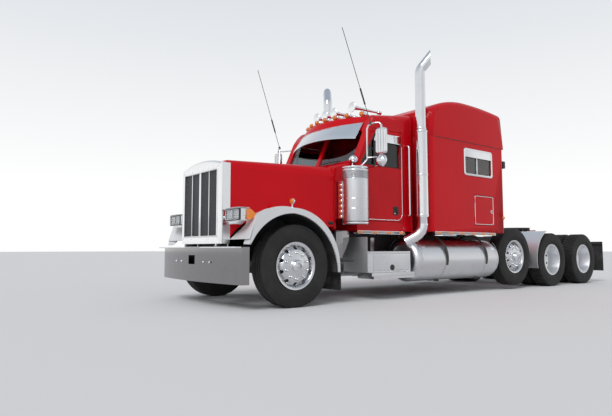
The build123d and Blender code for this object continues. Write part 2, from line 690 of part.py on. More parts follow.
def cab_outline(inset):
    """The cab's side outline moved inward, as X and Z points from the front foot round."""
    return (
        (COWL_REAR - inset, CAB_LOW + inset), (COWL_REAR - inset, BELT),
        (PILLAR_TOP_X - inset, PILLAR_TOP_Z), (ROOF_FRONT_X, ROOF_FRONT_Z - inset),
        (CAB_REAR + inset, ROOF_REAR_Z - inset), (CAB_REAR + inset, CAB_LOW + inset),
    )


def cowl_outline(inset):
    """The cowl's side outline moved inward, open into the cab behind it."""
    return (
        (COWL_REAR - CAB_WALL - inset, COWL_LOW + inset), (COWL_FRONT - inset, COWL_LOW + inset),
        (COWL_FRONT - inset, HOOD_REAR_TOP - COWL_DIP - inset), (COWL_REAR - CAB_WALL - inset,
                                                                 BELT + COWL_RISE - inset),
    )


def door_outline(gap):
    """The door's outline in X and Z, grown outward by the gap."""
    return (
        (DOOR_FRONT + gap, DOOR_LOW - gap), (DOOR_FRONT + gap, BELT), (DOOR_FRONT - DOOR_RAKE + gap,
                                                                       DOOR_TOP + gap),
        (DOOR_REAR - gap, DOOR_TOP + gap), (DOOR_REAR - gap, DOOR_LOW - gap),
    )


DOOR_HINGES = (1270, 1840)
HINGE_R = 10
HINGE_H = 80
HINGE_TAB = 20
HINGE_TAB_T = 6
WINDOW_OUTLINE = (
    (DOOR_FRONT - 75, BELT + 25), (DOOR_FRONT - DOOR_RAKE - 30, DOOR_TOP - 80), (DOOR_REAR + 55,
                                                                                 DOOR_TOP - 80),
    (DOOR_REAR + 55, BELT + 25),
)
PASS_HALF = 450
PASS_LOW = 1300
PASS_TOP = 2500
PASS_R = 80
PASS_LIP = 20
SCREEN_LOW = 2060
SCREEN_TOP = 2540
SCREEN_HALF = 850
SCREEN_POST = 40
SCREEN_R = 50
SCREEN_REACH = 500
with BuildPart() as cab:
    with BuildSketch(side_plane(CAB_HALF)):
        with BuildLine():
            Polyline(*cab_outline(0), close=True)
        make_face()
    extrude(amount=2 * CAB_HALF)
    fillet(cab.edges().filter_by(Axis.X, tolerance=12).group_by(Axis.Z)[-1], ROOF_R)
    with BuildSketch(side_plane(COWL_HALF)):
        with BuildLine():
            Polyline(*cowl_outline(0), close=True)
        make_face()
    extrude(amount=2 * COWL_HALF)
    with BuildSketch(side_plane(CAB_HALF - CAB_WALL)):
        with BuildLine():
            Polyline(*cab_outline(CAB_WALL), close=True)
        make_face()
    extrude(amount=2 * (CAB_HALF - CAB_WALL), mode=Mode.SUBTRACT)
    with BuildSketch(side_plane(COWL_HALF - CAB_WALL)):
        with BuildLine():
            Polyline(*cowl_outline(CAB_WALL), close=True)
        make_face()
    extrude(amount=2 * (COWL_HALF - CAB_WALL), mode=Mode.SUBTRACT)
    for side in (1, -1):
        with BuildSketch(side_plane(side * (CAB_HALF + 1))):
            with BuildLine():
                Polyline(*door_outline(DOOR_GAP), close=True)
            make_face()
        extrude(amount=side * (CAB_WALL + 2), mode=Mode.SUBTRACT)
        for z in DOOR_HINGES:
            with BuildSketch(Plane(origin=(DOOR_FRONT, side * CAB_HALF, z))):
                Circle(HINGE_R)
                with Locations(((DOOR_GAP + HINGE_TAB) / 2, -side * HINGE_TAB_T / 2)):
                    Rectangle(DOOR_GAP + HINGE_TAB, HINGE_TAB_T)
            extrude(amount=HINGE_H)
    with BuildSketch(front_plane(CAB_REAR - 1)):
        with Locations((0, (PASS_LOW + PASS_TOP) / 2)):
            RectangleRounded(2 * PASS_HALF, PASS_TOP - PASS_LOW, PASS_R)
    extrude(amount=CAB_WALL + 2, mode=Mode.SUBTRACT)
    with BuildSketch(front_plane(PILLAR_TOP_X - 120)):
        for side in (1, -1):
            with Locations((side * (SCREEN_HALF + SCREEN_POST) / 2, (SCREEN_LOW + SCREEN_TOP) / 2)):
                RectangleRounded(SCREEN_HALF - SCREEN_POST, SCREEN_TOP - SCREEN_LOW, SCREEN_R)
    extrude(amount=SCREEN_REACH, mode=Mode.SUBTRACT)
write(cab, "cab")

# Doors: each as thick as the cab wall, with its window cut, hung at the front edge
for side_name, side in SIDES:
    with BuildPart() as door:
        with BuildSketch(side_plane(side * CAB_HALF)):
            with BuildLine():
                Polyline(*door_outline(0), close=True)
            make_face()
        extrude(amount=side * CAB_WALL)
        with BuildSketch(side_plane(side * CAB_HALF)):
            with BuildLine():
                Polyline(*WINDOW_OUTLINE, close=True)
            make_face()
        extrude(amount=side * CAB_WALL, mode=Mode.SUBTRACT)
        for z in DOOR_HINGES:
            with BuildSketch(Plane(origin=(DOOR_FRONT, side * CAB_HALF, z - FACE_GAP / 2))):
                Circle(HINGE_R + SEAT)
            extrude(amount=HINGE_H + FACE_GAP, mode=Mode.SUBTRACT)
    write(door, f"door_{side_name}")
    with BuildPart() as door_glass:
        with BuildSketch(side_plane(side * (CAB_HALF - CAB_WALL / 2))):
            with BuildLine():
                Polyline(*WINDOW_OUTLINE, close=True)
            make_face()
            offset(amount=-SEAT, mode=Mode.REPLACE)
        extrude(amount=side * GLASS_T)
    write(door_glass, f"door_glass_{side_name}")

# Sleeper: a hollow box with chamfered front corners, storage doorways, windows and the pass boot
LOCKER_LENGTH = 560
LOCKER_H = 510
LOCKER_REAR = SLEEPER_REAR + 360
LOCKER_FRONT = LOCKER_REAR + LOCKER_LENGTH
LOCKER_LOW = SLEEPER_LOW + 130
LOCKER_TOP = LOCKER_LOW + LOCKER_H
LOCKER_HINGES = (LOCKER_LOW + 50, LOCKER_TOP - 130)
BUNK_WINDOW_LENGTH = 770
BUNK_WINDOW_H = 420
BUNK_WINDOW_R = 40
SLEEPER_EDGE_R = 70
BUNK_WINDOW_REAR = SLEEPER_REAR + 400
BUNK_WINDOW_FRONT = BUNK_WINDOW_REAR + BUNK_WINDOW_LENGTH
BUNK_WINDOW_TOP = SLEEPER_SEAM - 120
BUNK_WINDOW_LOW = BUNK_WINDOW_TOP - BUNK_WINDOW_H


def sleeper_plan(inset):
    """The sleeper's plan moved inward, as X and Y points."""
    front = SLEEPER_FRONT - inset
    rear = SLEEPER_REAR + inset
    half = SLEEPER_HALF - inset
    corner = CORNER_HALF - inset * 0.7
    shoulder = CORNER_X - inset * 0.3
    return ((front, -corner), (front, corner), (shoulder, half), (rear, half), (rear, -half),
            (shoulder, -half))


with BuildPart() as sleeper:
    with BuildSketch(Plane.XY.offset(SLEEPER_LOW)):
        with BuildLine():
            Polyline(*sleeper_plan(0), close=True)
        make_face()
    extrude(amount=SLEEPER_SEAM - SLEEPER_LOW)
    fillet(sleeper.edges().filter_by(Axis.Z).group_by(Axis.X)[0], SLEEPER_EDGE_R)
    with BuildSketch(Plane.XY.offset(SLEEPER_LOW + SLEEPER_WALL)):
        with BuildLine():
            Polyline(*sleeper_plan(SLEEPER_WALL), close=True)
        make_face()
    extrude(amount=SLEEPER_SEAM - SLEEPER_LOW, mode=Mode.SUBTRACT)
    for side in (1, -1):
        with BuildSketch(side_plane(side * (SLEEPER_HALF + 1))):
            with BuildLine():
                Polyline((LOCKER_FRONT + DOOR_GAP, LOCKER_LOW - DOOR_GAP),
                         (LOCKER_FRONT + DOOR_GAP, LOCKER_TOP + DOOR_GAP),
                         (LOCKER_REAR - DOOR_GAP, LOCKER_TOP + DOOR_GAP),
                         (LOCKER_REAR - DOOR_GAP, LOCKER_LOW - DOOR_GAP), close=True)
            make_face()
            with Locations(((BUNK_WINDOW_FRONT + BUNK_WINDOW_REAR) / 2,
                            (BUNK_WINDOW_LOW + BUNK_WINDOW_TOP) / 2)):
                RectangleRounded(BUNK_WINDOW_LENGTH, BUNK_WINDOW_H, BUNK_WINDOW_R)
        extrude(amount=side * (SLEEPER_WALL + 2), mode=Mode.SUBTRACT)
        for z in LOCKER_HINGES:
            with BuildSketch(Plane(origin=(LOCKER_FRONT, side * SLEEPER_HALF, z))):
                Circle(HINGE_R)
                with Locations(((DOOR_GAP + HINGE_TAB) / 2, -side * HINGE_TAB_T / 2)):
                    Rectangle(DOOR_GAP + HINGE_TAB, HINGE_TAB_T)
            extrude(amount=HINGE_H)
    with BuildSketch(front_plane(SLEEPER_FRONT - SLEEPER_WALL - 1)):
        with Locations((0, (PASS_LOW + PASS_TOP) / 2)):
            RectangleRounded(2 * PASS_HALF, PASS_TOP - PASS_LOW, PASS_R)
    extrude(amount=SLEEPER_WALL + 2, mode=Mode.SUBTRACT)
    with BuildSketch(front_plane(SLEEPER_FRONT - 1)):
        with Locations((0, (PASS_LOW + PASS_TOP) / 2)):
            RectangleRounded(2 * (PASS_HALF + PASS_LIP), PASS_TOP - PASS_LOW + 2 * PASS_LIP,
                             PASS_R + PASS_LIP)
            RectangleRounded(2 * PASS_HALF, PASS_TOP - PASS_LOW, PASS_R, mode=Mode.SUBTRACT)
    extrude(amount=CAB_REAR - SLEEPER_FRONT + 1)
write(sleeper, "sleeper")

# Sleeper storage doors: one each side, hung at the front edge
for side_name, side in SIDES:
    with BuildPart() as locker_door:
        with BuildSketch(side_plane(side * SLEEPER_HALF)):
            with BuildLine():
                Polyline((LOCKER_FRONT, LOCKER_LOW), (LOCKER_FRONT, LOCKER_TOP), (LOCKER_REAR, LOCKER_TOP),
                         (LOCKER_REAR, LOCKER_LOW), close=True)
            make_face()
        extrude(amount=side * SLEEPER_WALL)
        for z in LOCKER_HINGES:
            with BuildSketch(Plane(origin=(LOCKER_FRONT, side * SLEEPER_HALF, z - FACE_GAP / 2))):
                Circle(HINGE_R + SEAT)
            extrude(amount=HINGE_H + FACE_GAP, mode=Mode.SUBTRACT)
    write(locker_door, f"locker_door_{side_name}")

# Sleeper roof: a hollow raised cap that fairs up and back from the cab roof
CAP_NOSE_Z = 2925
CAP_WALL = 30
CAP_LEAN = 90
CAP_EDGE_R = 110
CAP_CREST = 1100
CAP_FALL = 55
with BuildPart() as sleeper_roof:
    for inset, combine in ((0, Mode.ADD), (CAP_WALL, Mode.SUBTRACT)):
        nose = SLEEPER_FRONT - inset
        crest = SLEEPER_FRONT - CAP_CREST
        tail = SLEEPER_REAR + CAP_LEAN + inset
        with BuildPart(mode=combine) as cap:
            with BuildSketch(side_plane(SLEEPER_HALF - inset)):
                with BuildLine():
                    Line((nose, SLEEPER_SEAM), (nose, CAP_NOSE_Z - inset))
                    ThreePointArc((nose, CAP_NOSE_Z - inset), (crest + 600, SLEEPER_TOP - 90 - inset),
                                  (crest, SLEEPER_TOP - inset))
                    ThreePointArc((crest, SLEEPER_TOP - inset), ((crest + tail) / 2,
                                                                 SLEEPER_TOP - 12 - inset),
                                  (tail, SLEEPER_TOP - CAP_FALL - inset))
                    Line((tail, SLEEPER_TOP - CAP_FALL - inset), (SLEEPER_REAR + inset, SLEEPER_SEAM))
                    Line((SLEEPER_REAR + inset, SLEEPER_SEAM), (nose, SLEEPER_SEAM))
                make_face()
            extrude(amount=2 * (SLEEPER_HALF - inset))
            with BuildSketch(Plane.XY.offset(SLEEPER_SEAM)):
                with BuildLine():
                    Polyline(*sleeper_plan(inset), close=True)
                make_face()
            extrude(amount=SLEEPER_TOP - SLEEPER_SEAM, mode=Mode.INTERSECT)
            fillet(cap.edges().filter_by(lambda edge: edge.bounding_box().min.Z > CAP_NOSE_Z - 50
                                         and abs(edge.center().Y) > SLEEPER_HALF - inset - 2),
                                         CAP_EDGE_R - inset)
write(sleeper_roof, "sleeper_roof")

# Fixed glass: two windshield panes and two sleeper windows, seated in their openings
PILLAR_LEAN = (PILLAR_TOP_X - COWL_REAR) / (PILLAR_TOP_Z - BELT)
SCREEN_INSET = 20
with BuildPart() as glass:
    with BuildSketch(side_plane(SCREEN_HALF)):
        with BuildLine():
            Polyline(*[(COWL_REAR + PILLAR_LEAN * (z - BELT) - inset, z) for z, inset in (
                (SCREEN_LOW, SCREEN_INSET), (SCREEN_TOP, SCREEN_INSET),
                (SCREEN_TOP, SCREEN_INSET + GLASS_T), (SCREEN_LOW, SCREEN_INSET + GLASS_T))], close=True)
        make_face()
    extrude(amount=2 * SCREEN_HALF)
    with BuildSketch(front_plane(PILLAR_TOP_X - 120)):
        for side in (1, -1):
            with Locations((side * (SCREEN_HALF + SCREEN_POST) / 2, (SCREEN_LOW + SCREEN_TOP) / 2)):
                RectangleRounded(SCREEN_HALF - SCREEN_POST - 2 * SEAT, SCREEN_TOP - SCREEN_LOW - 2 * SEAT,
                                 SCREEN_R)
    extrude(amount=SCREEN_REACH, mode=Mode.INTERSECT)
    for side in (1, -1):
        with BuildSketch(side_plane(side * (SLEEPER_HALF - 15))):
            with Locations(((BUNK_WINDOW_FRONT + BUNK_WINDOW_REAR) / 2,
                            (BUNK_WINDOW_LOW + BUNK_WINDOW_TOP) / 2)):
                RectangleRounded(BUNK_WINDOW_LENGTH - 2 * SEAT, BUNK_WINDOW_H - 2 * SEAT, BUNK_WINDOW_R)
        extrude(amount=side * GLASS_T)
write(glass, "glass")

# Visor: a bright plate that leans out from the roof's brow over the windshield
VISOR_HALF = 870
VISOR_ROOT_Z = 2690
VISOR_LIP_X = PILLAR_TOP_X + 200
VISOR_LIP_Z = 2490
VISOR_T = 12
BROW_LEAN = (ROOF_FRONT_X - PILLAR_TOP_X) / (ROOF_FRONT_Z - PILLAR_TOP_Z)


def brow_x(z):
    return PILLAR_TOP_X + BROW_LEAN * (z - PILLAR_TOP_Z) + SEAT


with BuildPart() as visor:
    with BuildSketch(side_plane(VISOR_HALF)):
        with BuildLine():
            Polyline((brow_x(VISOR_ROOT_Z), VISOR_ROOT_Z), (VISOR_LIP_X, VISOR_LIP_Z),
                     (VISOR_LIP_X + 8, VISOR_LIP_Z + 6),
                     (brow_x(VISOR_ROOT_Z + VISOR_T), VISOR_ROOT_Z + VISOR_T), close=True)
        make_face()
    extrude(amount=2 * VISOR_HALF)
write(visor, "visor")

# Exhaust stacks: shielded uprights with a turned tip and a lower elbow under the cab
STACK_X = SLEEPER_FRONT + 30
STACK_Y = CAB_HALF + 170
SHIELD_R = 100
LOWER_PIPE_R = 52
PIPE_R = 82
PIPE_T = 4
SHIELD_LOW = 1240
SHIELD_TOP = 2610
ELBOW_Z = 948
ELBOW_FORWARD = 250
ELBOW_IN = 330
ELBOW_R = 110
SLEEVE_R = 80
SLEEVE_IN = 100
SLEEVE_Z = 1050
PIPE_TOP = 3590
TIP_RISE = 285
TIP_BACK = 145
TIP_OUT = 190
TIP_TRIM = 70
TIP_BEND_R = 190
TIP_BORE = 220
STACK_ARMS = (SHIELD_LOW + 260, SHIELD_TOP - 230)
STACK_ARM_W = 50
STACK_ARM_H = 60
with BuildPart() as exhaust_stacks:
    for side in (1, -1):
        with BuildSketch(Plane(origin=(STACK_X, side * STACK_Y, SHIELD_LOW))):
            Circle(SHIELD_R)
        extrude(amount=SHIELD_TOP - SHIELD_LOW)
        chamfer_run = Vector(CORNER_X - SLEEPER_FRONT, side * (SLEEPER_HALF - CORNER_HALF), 0)
        outward = Vector(0, 0, -side).cross(chamfer_run).normalized()
        corner = Vector(SLEEPER_FRONT, side * CORNER_HALF, 0)
        reach = (Vector(STACK_X, side * STACK_Y, 0) - corner).dot(outward)
        for z in STACK_ARMS:
            foot = Vector(STACK_X, side * STACK_Y, z) - outward * reach
            with BuildSketch(Plane(origin=foot, x_dir=(0, 0, 1), z_dir=outward)):
                Rectangle(STACK_ARM_H, STACK_ARM_W)
            extrude(amount=reach)
        with BuildLine():
            elbow = FilletPolyline((STACK_X + ELBOW_FORWARD, side * (STACK_Y - ELBOW_IN), ELBOW_Z),
                                   (STACK_X, side * STACK_Y, ELBOW_Z), (STACK_X, side * STACK_Y,
                                                                        SHIELD_LOW + 10),
                                   radius=ELBOW_R)
        with BuildSketch(Plane(origin=elbow @ 0, z_dir=elbow % 0)):
            Circle(LOWER_PIPE_R)
        sweep(path=elbow)
        with BuildLine():
            sleeve = FilletPolyline((STACK_X, side * (STACK_Y - SLEEVE_IN), SLEEVE_Z - SLEEVE_IN),
                                    (STACK_X, side * STACK_Y, SLEEVE_Z),
                                    (STACK_X, side * STACK_Y, SHIELD_LOW + 10), radius=ELBOW_R)
        with BuildSketch(Plane(origin=sleeve @ 0, z_dir=sleeve % 0)):
            Circle(SLEEVE_R)
        sweep(path=sleeve)
        with BuildLine():
            tip = FilletPolyline((STACK_X, side * STACK_Y, SHIELD_TOP - 10), (STACK_X, side * STACK_Y,
                                                                              PIPE_TOP),
                                 (STACK_X - TIP_BACK, side * (STACK_Y + TIP_OUT), PIPE_TOP + TIP_RISE),
                                 radius=TIP_BEND_R)
        with BuildSketch(Plane(origin=tip @ 0, z_dir=tip % 0)):
            Circle(PIPE_R)
        sweep(path=tip)
        with BuildSketch(Plane(origin=tip @ 1, z_dir=tip % 1)):
            Circle(PIPE_R - PIPE_T)
        extrude(amount=-TIP_BORE, mode=Mode.SUBTRACT)
        turn = Vector(-TIP_BACK, side * TIP_OUT, 0).normalized()
        with BuildSketch(Plane(origin=tip @ 1 - turn * TIP_TRIM, z_dir=turn)):
            Circle(3 * PIPE_R)
        extrude(amount=3 * PIPE_R, mode=Mode.SUBTRACT)
write(exhaust_stacks, "exhaust_stacks")

# Air cleaners: a banded canister each side of the cowl on two brackets
CLEANER_R = 185
CLEANER_X = COWL_FRONT - 165
CLEANER_Y = COWL_HALF + CLEANER_R + 45
CLEANER_LOW = 1090
CLEANER_TOP = HOOD_REAR_TOP - 50
CLEANER_LID = 40
CLEANER_STEP = 25
CLEANER_ARMS = (COWL_LOW + 80, COWL_LOW + 360)
CLEANER_ARM_L = 90
CLEANER_ARM_H = 60
with BuildPart() as air_cleaners:
    for side in (1, -1):
        with BuildSketch(Plane(origin=(CLEANER_X, side * CLEANER_Y, CLEANER_LOW + CLEANER_LID))):
            Circle(CLEANER_R)
        extrude(amount=CLEANER_TOP - CLEANER_LOW - 2 * CLEANER_LID)
        with BuildSketch(Plane(origin=(CLEANER_X, side * CLEANER_Y, CLEANER_LOW))):
            Circle(CLEANER_R - CLEANER_STEP)
        extrude(amount=CLEANER_TOP - CLEANER_LOW)
        for z in CLEANER_ARMS:
            with BuildSketch(side_plane(side * COWL_HALF)):
                with Locations((CLEANER_X, z)):
                    Rectangle(CLEANER_ARM_L, CLEANER_ARM_H)
            extrude(amount=-side * 2 * (CLEANER_Y - CLEANER_R - COWL_HALF))
write(air_cleaners, "air_cleaners")

# Fuel tanks: domed drums with straps, carried on brackets from the rails
TANK_LENGTH = 2230
TANK_FRONT = CAB_REAR + 160
TANK_REAR = TANK_FRONT - TANK_LENGTH
TANK_R = 330
TANK_Y = 890
TANK_Z = 560
TANK_CORNER_R = 110
STRAP_W = 70
STRAP_INSET = 700
STRAP_PROUD = 5
TANK_ARM_EDGE = 30
with BuildPart() as fuel_tanks:
    for side in (1, -1):
        tank_plane = Plane(origin=(TANK_REAR, side * TANK_Y, TANK_Z), x_dir=(1, 0, 0), z_dir=(0, -1, 0))
        with BuildSketch(tank_plane):
            with BuildLine():
                FilletPolyline((0, 0), (0, TANK_R), (TANK_LENGTH, TANK_R), (TANK_LENGTH, 0),
                               radius=TANK_CORNER_R)
                Line((TANK_LENGTH, 0), (0, 0))
            make_face()
        revolve(axis=Axis((0, side * TANK_Y, TANK_Z), (1, 0, 0)))
        for x in (TANK_FRONT - STRAP_INSET, TANK_REAR + STRAP_INSET - 250):
            with BuildSketch(front_plane(x - STRAP_W / 2)):
                with Locations((side * TANK_Y, TANK_Z)):
                    Circle(TANK_R + STRAP_PROUD)
                with BuildLine():
                    Polyline((side * FRAME_HALF, RAIL_BOTTOM + 20), (side * FRAME_HALF, RAIL_TOP - 20),
                             (side * TANK_Y, TANK_Z + TANK_R - TANK_ARM_EDGE),
                             (side * (TANK_Y - TANK_R + TANK_ARM_EDGE), TANK_Z),
                             close=True)
                make_face()
            extrude(amount=STRAP_W)
write(fuel_tanks, "fuel_tanks")

# Mirrors: a bright head and a round spot mirror on a tube bracket
MIRROR_X = COWL_REAR - 185
MIRROR_Y = CAB_HALF + 330
MIRROR_LOW = 2100
MIRROR_TOP = 2480
MIRROR_W = 180
TUBE_R = 11
ARM_LOW = 1935
ARM_TOP = 2530
ARM_RAKE = 190
HEAD_BACK = 20
HEAD_T = 50
HEAD_R = 45
SPOT_Z = 2012
SPOT_R = 82
SPOT_T = 35
for side_name, side in SIDES:
    with BuildPart() as mirror_part:
        with BuildSketch(Plane(origin=(MIRROR_X, side * MIRROR_Y, ARM_LOW))):
            Circle(TUBE_R)
        extrude(amount=ARM_TOP - ARM_LOW)
        for z, root in ((ARM_LOW, MIRROR_X), (ARM_TOP - 15, MIRROR_X - ARM_RAKE)):
            with BuildLine():
                arm_path = Line((root, side * CAB_HALF, z), (MIRROR_X, side * MIRROR_Y, z))
            with BuildSketch(side_plane(side * CAB_HALF)):
                with Locations((root, z)):
                    Circle(TUBE_R)
            sweep(path=arm_path)
        with BuildSketch(front_plane(MIRROR_X - HEAD_BACK)):
            with Locations((side * MIRROR_Y, (MIRROR_LOW + MIRROR_TOP) / 2)):
                RectangleRounded(MIRROR_W, MIRROR_TOP - MIRROR_LOW, HEAD_R)
        extrude(amount=HEAD_T)
        with BuildSketch(front_plane(MIRROR_X - HEAD_BACK)):
            with Locations((side * MIRROR_Y, SPOT_Z)):
                Circle(SPOT_R)
        extrude(amount=SPOT_T)
    write(mirror_part, f"mirror_{side_name}")

# Marker lamps: seven on the roof, standing on its slope
ROOF_LEAN = (ROOF_REAR_Z - ROOF_FRONT_Z) / (ROOF_FRONT_X - CAB_REAR)
LAMP_L = 110
LAMP_W = 60
LAMP_H = 48
with BuildPart() as marker_lamps:
    for across, back in ((0, 0), (230, 15), (450, 40), (684, 90)):
        for side in ((1,) if across == 0 else (1, -1)):
            lamp_rear = ROOF_FRONT_X - 30 - back - LAMP_L
            lamp_z = ROOF_FRONT_Z + ROOF_LEAN * (ROOF_FRONT_X - lamp_rear) + SEAT
            with BuildSketch(Plane(origin=(lamp_rear + LAMP_L / 2, side * across, lamp_z))):
                RectangleRounded(LAMP_L, LAMP_W, 25)
            extrude(amount=LAMP_H)
write(marker_lamps, "marker_lamps")

# Air horns: four trumpets on feet, bells forward
HORN_Z = 3010
HORN_BELL_X = ROOF_FRONT_X
HORN_BELL_R = 65
HORN_THROAT_R = 16
with BuildPart() as air_horns:
    for across, length in ((447, 640), (-10, 520), (-240, 640), (-460, 520)):
        throat_x = HORN_BELL_X - length
        with BuildSketch(Plane(origin=(0, across, HORN_Z), x_dir=(1, 0, 0), z_dir=(0, -1, 0))):
            with BuildLine():
                Polyline((throat_x, 0), (throat_x, HORN_THROAT_R + 14), (throat_x + 70, HORN_THROAT_R + 14),
                         (throat_x + 80, HORN_THROAT_R), (HORN_BELL_X - 150, HORN_THROAT_R + 10),
                         (HORN_BELL_X - 45, HORN_THROAT_R + 24), (HORN_BELL_X, HORN_BELL_R),
                         (HORN_BELL_X, HORN_BELL_R - 6), (HORN_BELL_X - 50, 24), (HORN_BELL_X - 60, 0),
                         close=True)
            make_face()
        revolve(axis=Axis((0, across, HORN_Z), (1, 0, 0)))
        for foot_x in (throat_x + 40, HORN_BELL_X - 220):
            foot_z = ROOF_FRONT_Z + ROOF_LEAN * (ROOF_FRONT_X - foot_x + 12) + SEAT
            with BuildSketch(Plane(origin=(foot_x, across, foot_z))):
                Rectangle(24, 24)
            extrude(amount=HORN_Z - foot_z)
write(air_horns, "air_horns")

# Battery and step boxes under the cab, with a step plate each side
BOX_LENGTH = 895
BOX_FRONT = COWL_REAR - 45
BOX_REAR = BOX_FRONT - BOX_LENGTH
BOX_LOW = 400
BOX_TOP = 706
BOX_OUT = 1150
STEP_OUT = 1225
with BuildPart() as step_boxes:
    for side in (1, -1):
        with BuildSketch(side_plane(side * BOX_OUT)):
            with BuildLine():
                Polyline((BOX_REAR, BOX_LOW), (BOX_FRONT, BOX_LOW), (BOX_FRONT, BOX_TOP),
                         (BOX_REAR, BOX_TOP), close=True)
            make_face()
        extrude(amount=side * (BOX_OUT - 640))
        with BuildSketch(side_plane(side * STEP_OUT)):
            with BuildLine():
                Polyline((BOX_REAR, BOX_LOW - 85), (BOX_FRONT - 40, BOX_LOW - 85), (BOX_FRONT - 40, BOX_LOW),
                         (BOX_REAR, BOX_LOW), close=True)
            make_face()
        extrude(amount=side * 330)
        for x in (BOX_FRONT - 120, BOX_REAR + 120):
            with BuildSketch(side_plane(side * FRAME_HALF)):
                with BuildLine():
                    Polyline((x - 40, BOX_TOP - 120), (x + 40, BOX_TOP - 120), (x + 40, RAIL_TOP - 60),
                             (x - 40, RAIL_TOP - 60), close=True)
                make_face()
            extrude(amount=-side * 30)
            with BuildSketch(side_plane(side * FRAME_HALF)):
                with BuildLine():
                    Polyline((x - 40, BOX_TOP - 120), (x + 40, BOX_TOP - 120), (x + 40, BOX_TOP - 60),
                             (x - 40, BOX_TOP - 60), close=True)
                make_face()
            extrude(amount=-side * 220)
write(step_boxes, "step_boxes")

# Side trim: polished sills below cab and sleeper, and the grab handles behind the doors
SILL_H = 45
SILL_T = 30
GRAB_R = 16
GRAB_X = CAB_REAR + 145
GRAB_Y = CAB_HALF + 70
GRAB_LOW = 1260
GRAB_TOP = 2360
with BuildPart() as side_trim:
    for side in (1, -1):
        for front, rear, half, top in (
                (COWL_REAR - 20, CAB_REAR + 200, CAB_HALF, CAB_LOW),
                (CORNER_X - 10, SLEEPER_REAR + 300, SLEEPER_HALF, SLEEPER_LOW)):
            with BuildSketch(side_plane(side * (half - 5))):
                with BuildLine():
                    Polyline((rear, top - SILL_H), (front, top - SILL_H), (front, top), (rear, top),
                             close=True)
                make_face()
            extrude(amount=side * SILL_T)
        with BuildLine():
            grab_path = FilletPolyline((GRAB_X, side * CAB_HALF, GRAB_LOW), (GRAB_X, side * GRAB_Y,
                                                                             GRAB_LOW),
                                       (GRAB_X, side * GRAB_Y, GRAB_TOP), (GRAB_X, side * CAB_HALF,
                                                                           GRAB_TOP),
                                       radius=30)
        with BuildSketch(Plane(origin=grab_path @ 0, z_dir=grab_path % 0)):
            Circle(GRAB_R)
        sweep(path=grab_path)
write(side_trim, "side_trim")

# Quarter fenders ahead of the front drive wheels, and their mounting arms
QUARTER_R = TYRE_R + 75
QUARTER_T = 10
QUARTER_IN = 600
QUARTER_OUT = 1225
QUARTER_ANGLES = (-15, 27, 67.5)
QUARTER_ARM_ANGLE = 39
QUARTER_ARM_R = 20


def quarter_point(radius, angle):
    """A point round the front drive axle in X and Z, by its angle above level."""
    reach = Vector(radius, 0).rotate(Axis.Z, angle)
    return DRIVE_X + reach.X, TYRE_R + reach.Y


with BuildPart() as quarter_fenders:
    for side in (1, -1):
        with BuildSketch(side_plane(side * QUARTER_OUT)):
            with BuildLine():
                inner_arc = [quarter_point(QUARTER_R, angle) for angle in QUARTER_ANGLES]
                outer_arc = [quarter_point(QUARTER_R + QUARTER_T,
                                           angle) for angle in reversed(QUARTER_ANGLES)]
                ThreePointArc(*inner_arc)
                Line(inner_arc[-1], outer_arc[0])
                ThreePointArc(*outer_arc)
                Line(outer_arc[-1], inner_arc[0])
            make_face()
        extrude(amount=side * (QUARTER_OUT - QUARTER_IN))
        with BuildSketch(side_plane(side * FRAME_HALF)):
            with Locations(quarter_point(QUARTER_R, QUARTER_ARM_ANGLE)):
                Circle(QUARTER_ARM_R)
        extrude(amount=-side * (QUARTER_IN - FRAME_HALF + 300))
write(quarter_fenders, "quarter_fenders")

# Mud flaps: a pair behind the steered wheels and a pair at the rear, on arms from the rails
FLAP_T = 10
FRONT_FLAP_X = STEER_X - 775
FLAP_TOP = 900
FLAP_ARM_H = 60
FLAPS = ((FRONT_FLAP_X, 180, 620, 1200, -30), (REAR_X, 250, 610, 1220, 40))
with BuildPart() as mud_flaps:
    for side in (1, -1):
        for x, low, inner, outer, arm in FLAPS:
            with BuildSketch(front_plane(x)):
                with BuildLine():
                    Polyline((side * inner, low), (side * outer, low), (side * outer, FLAP_TOP),
                             (side * inner, FLAP_TOP), close=True)
                make_face()
            extrude(amount=FLAP_T)
            with BuildSketch(front_plane(x)):
                with BuildLine():
                    Polyline((side * FRAME_HALF, FLAP_TOP - FLAP_ARM_H), (side * outer,
                                                                          FLAP_TOP - FLAP_ARM_H),
                             (side * outer, FLAP_TOP), (side * FRAME_HALF, FLAP_TOP), close=True)
                make_face()
            extrude(amount=arm)
    for side in (1, -1):
        with BuildSketch(front_plane(REAR_X)):
            with Locations((side * (FRAME_HALF + 20), FLAP_TOP - FLAP_ARM_H / 2)):
                Rectangle(40, FLAP_ARM_H)
        extrude(amount=RAIL_REAR - REAR_X + 150)
write(mud_flaps, "mud_flaps")

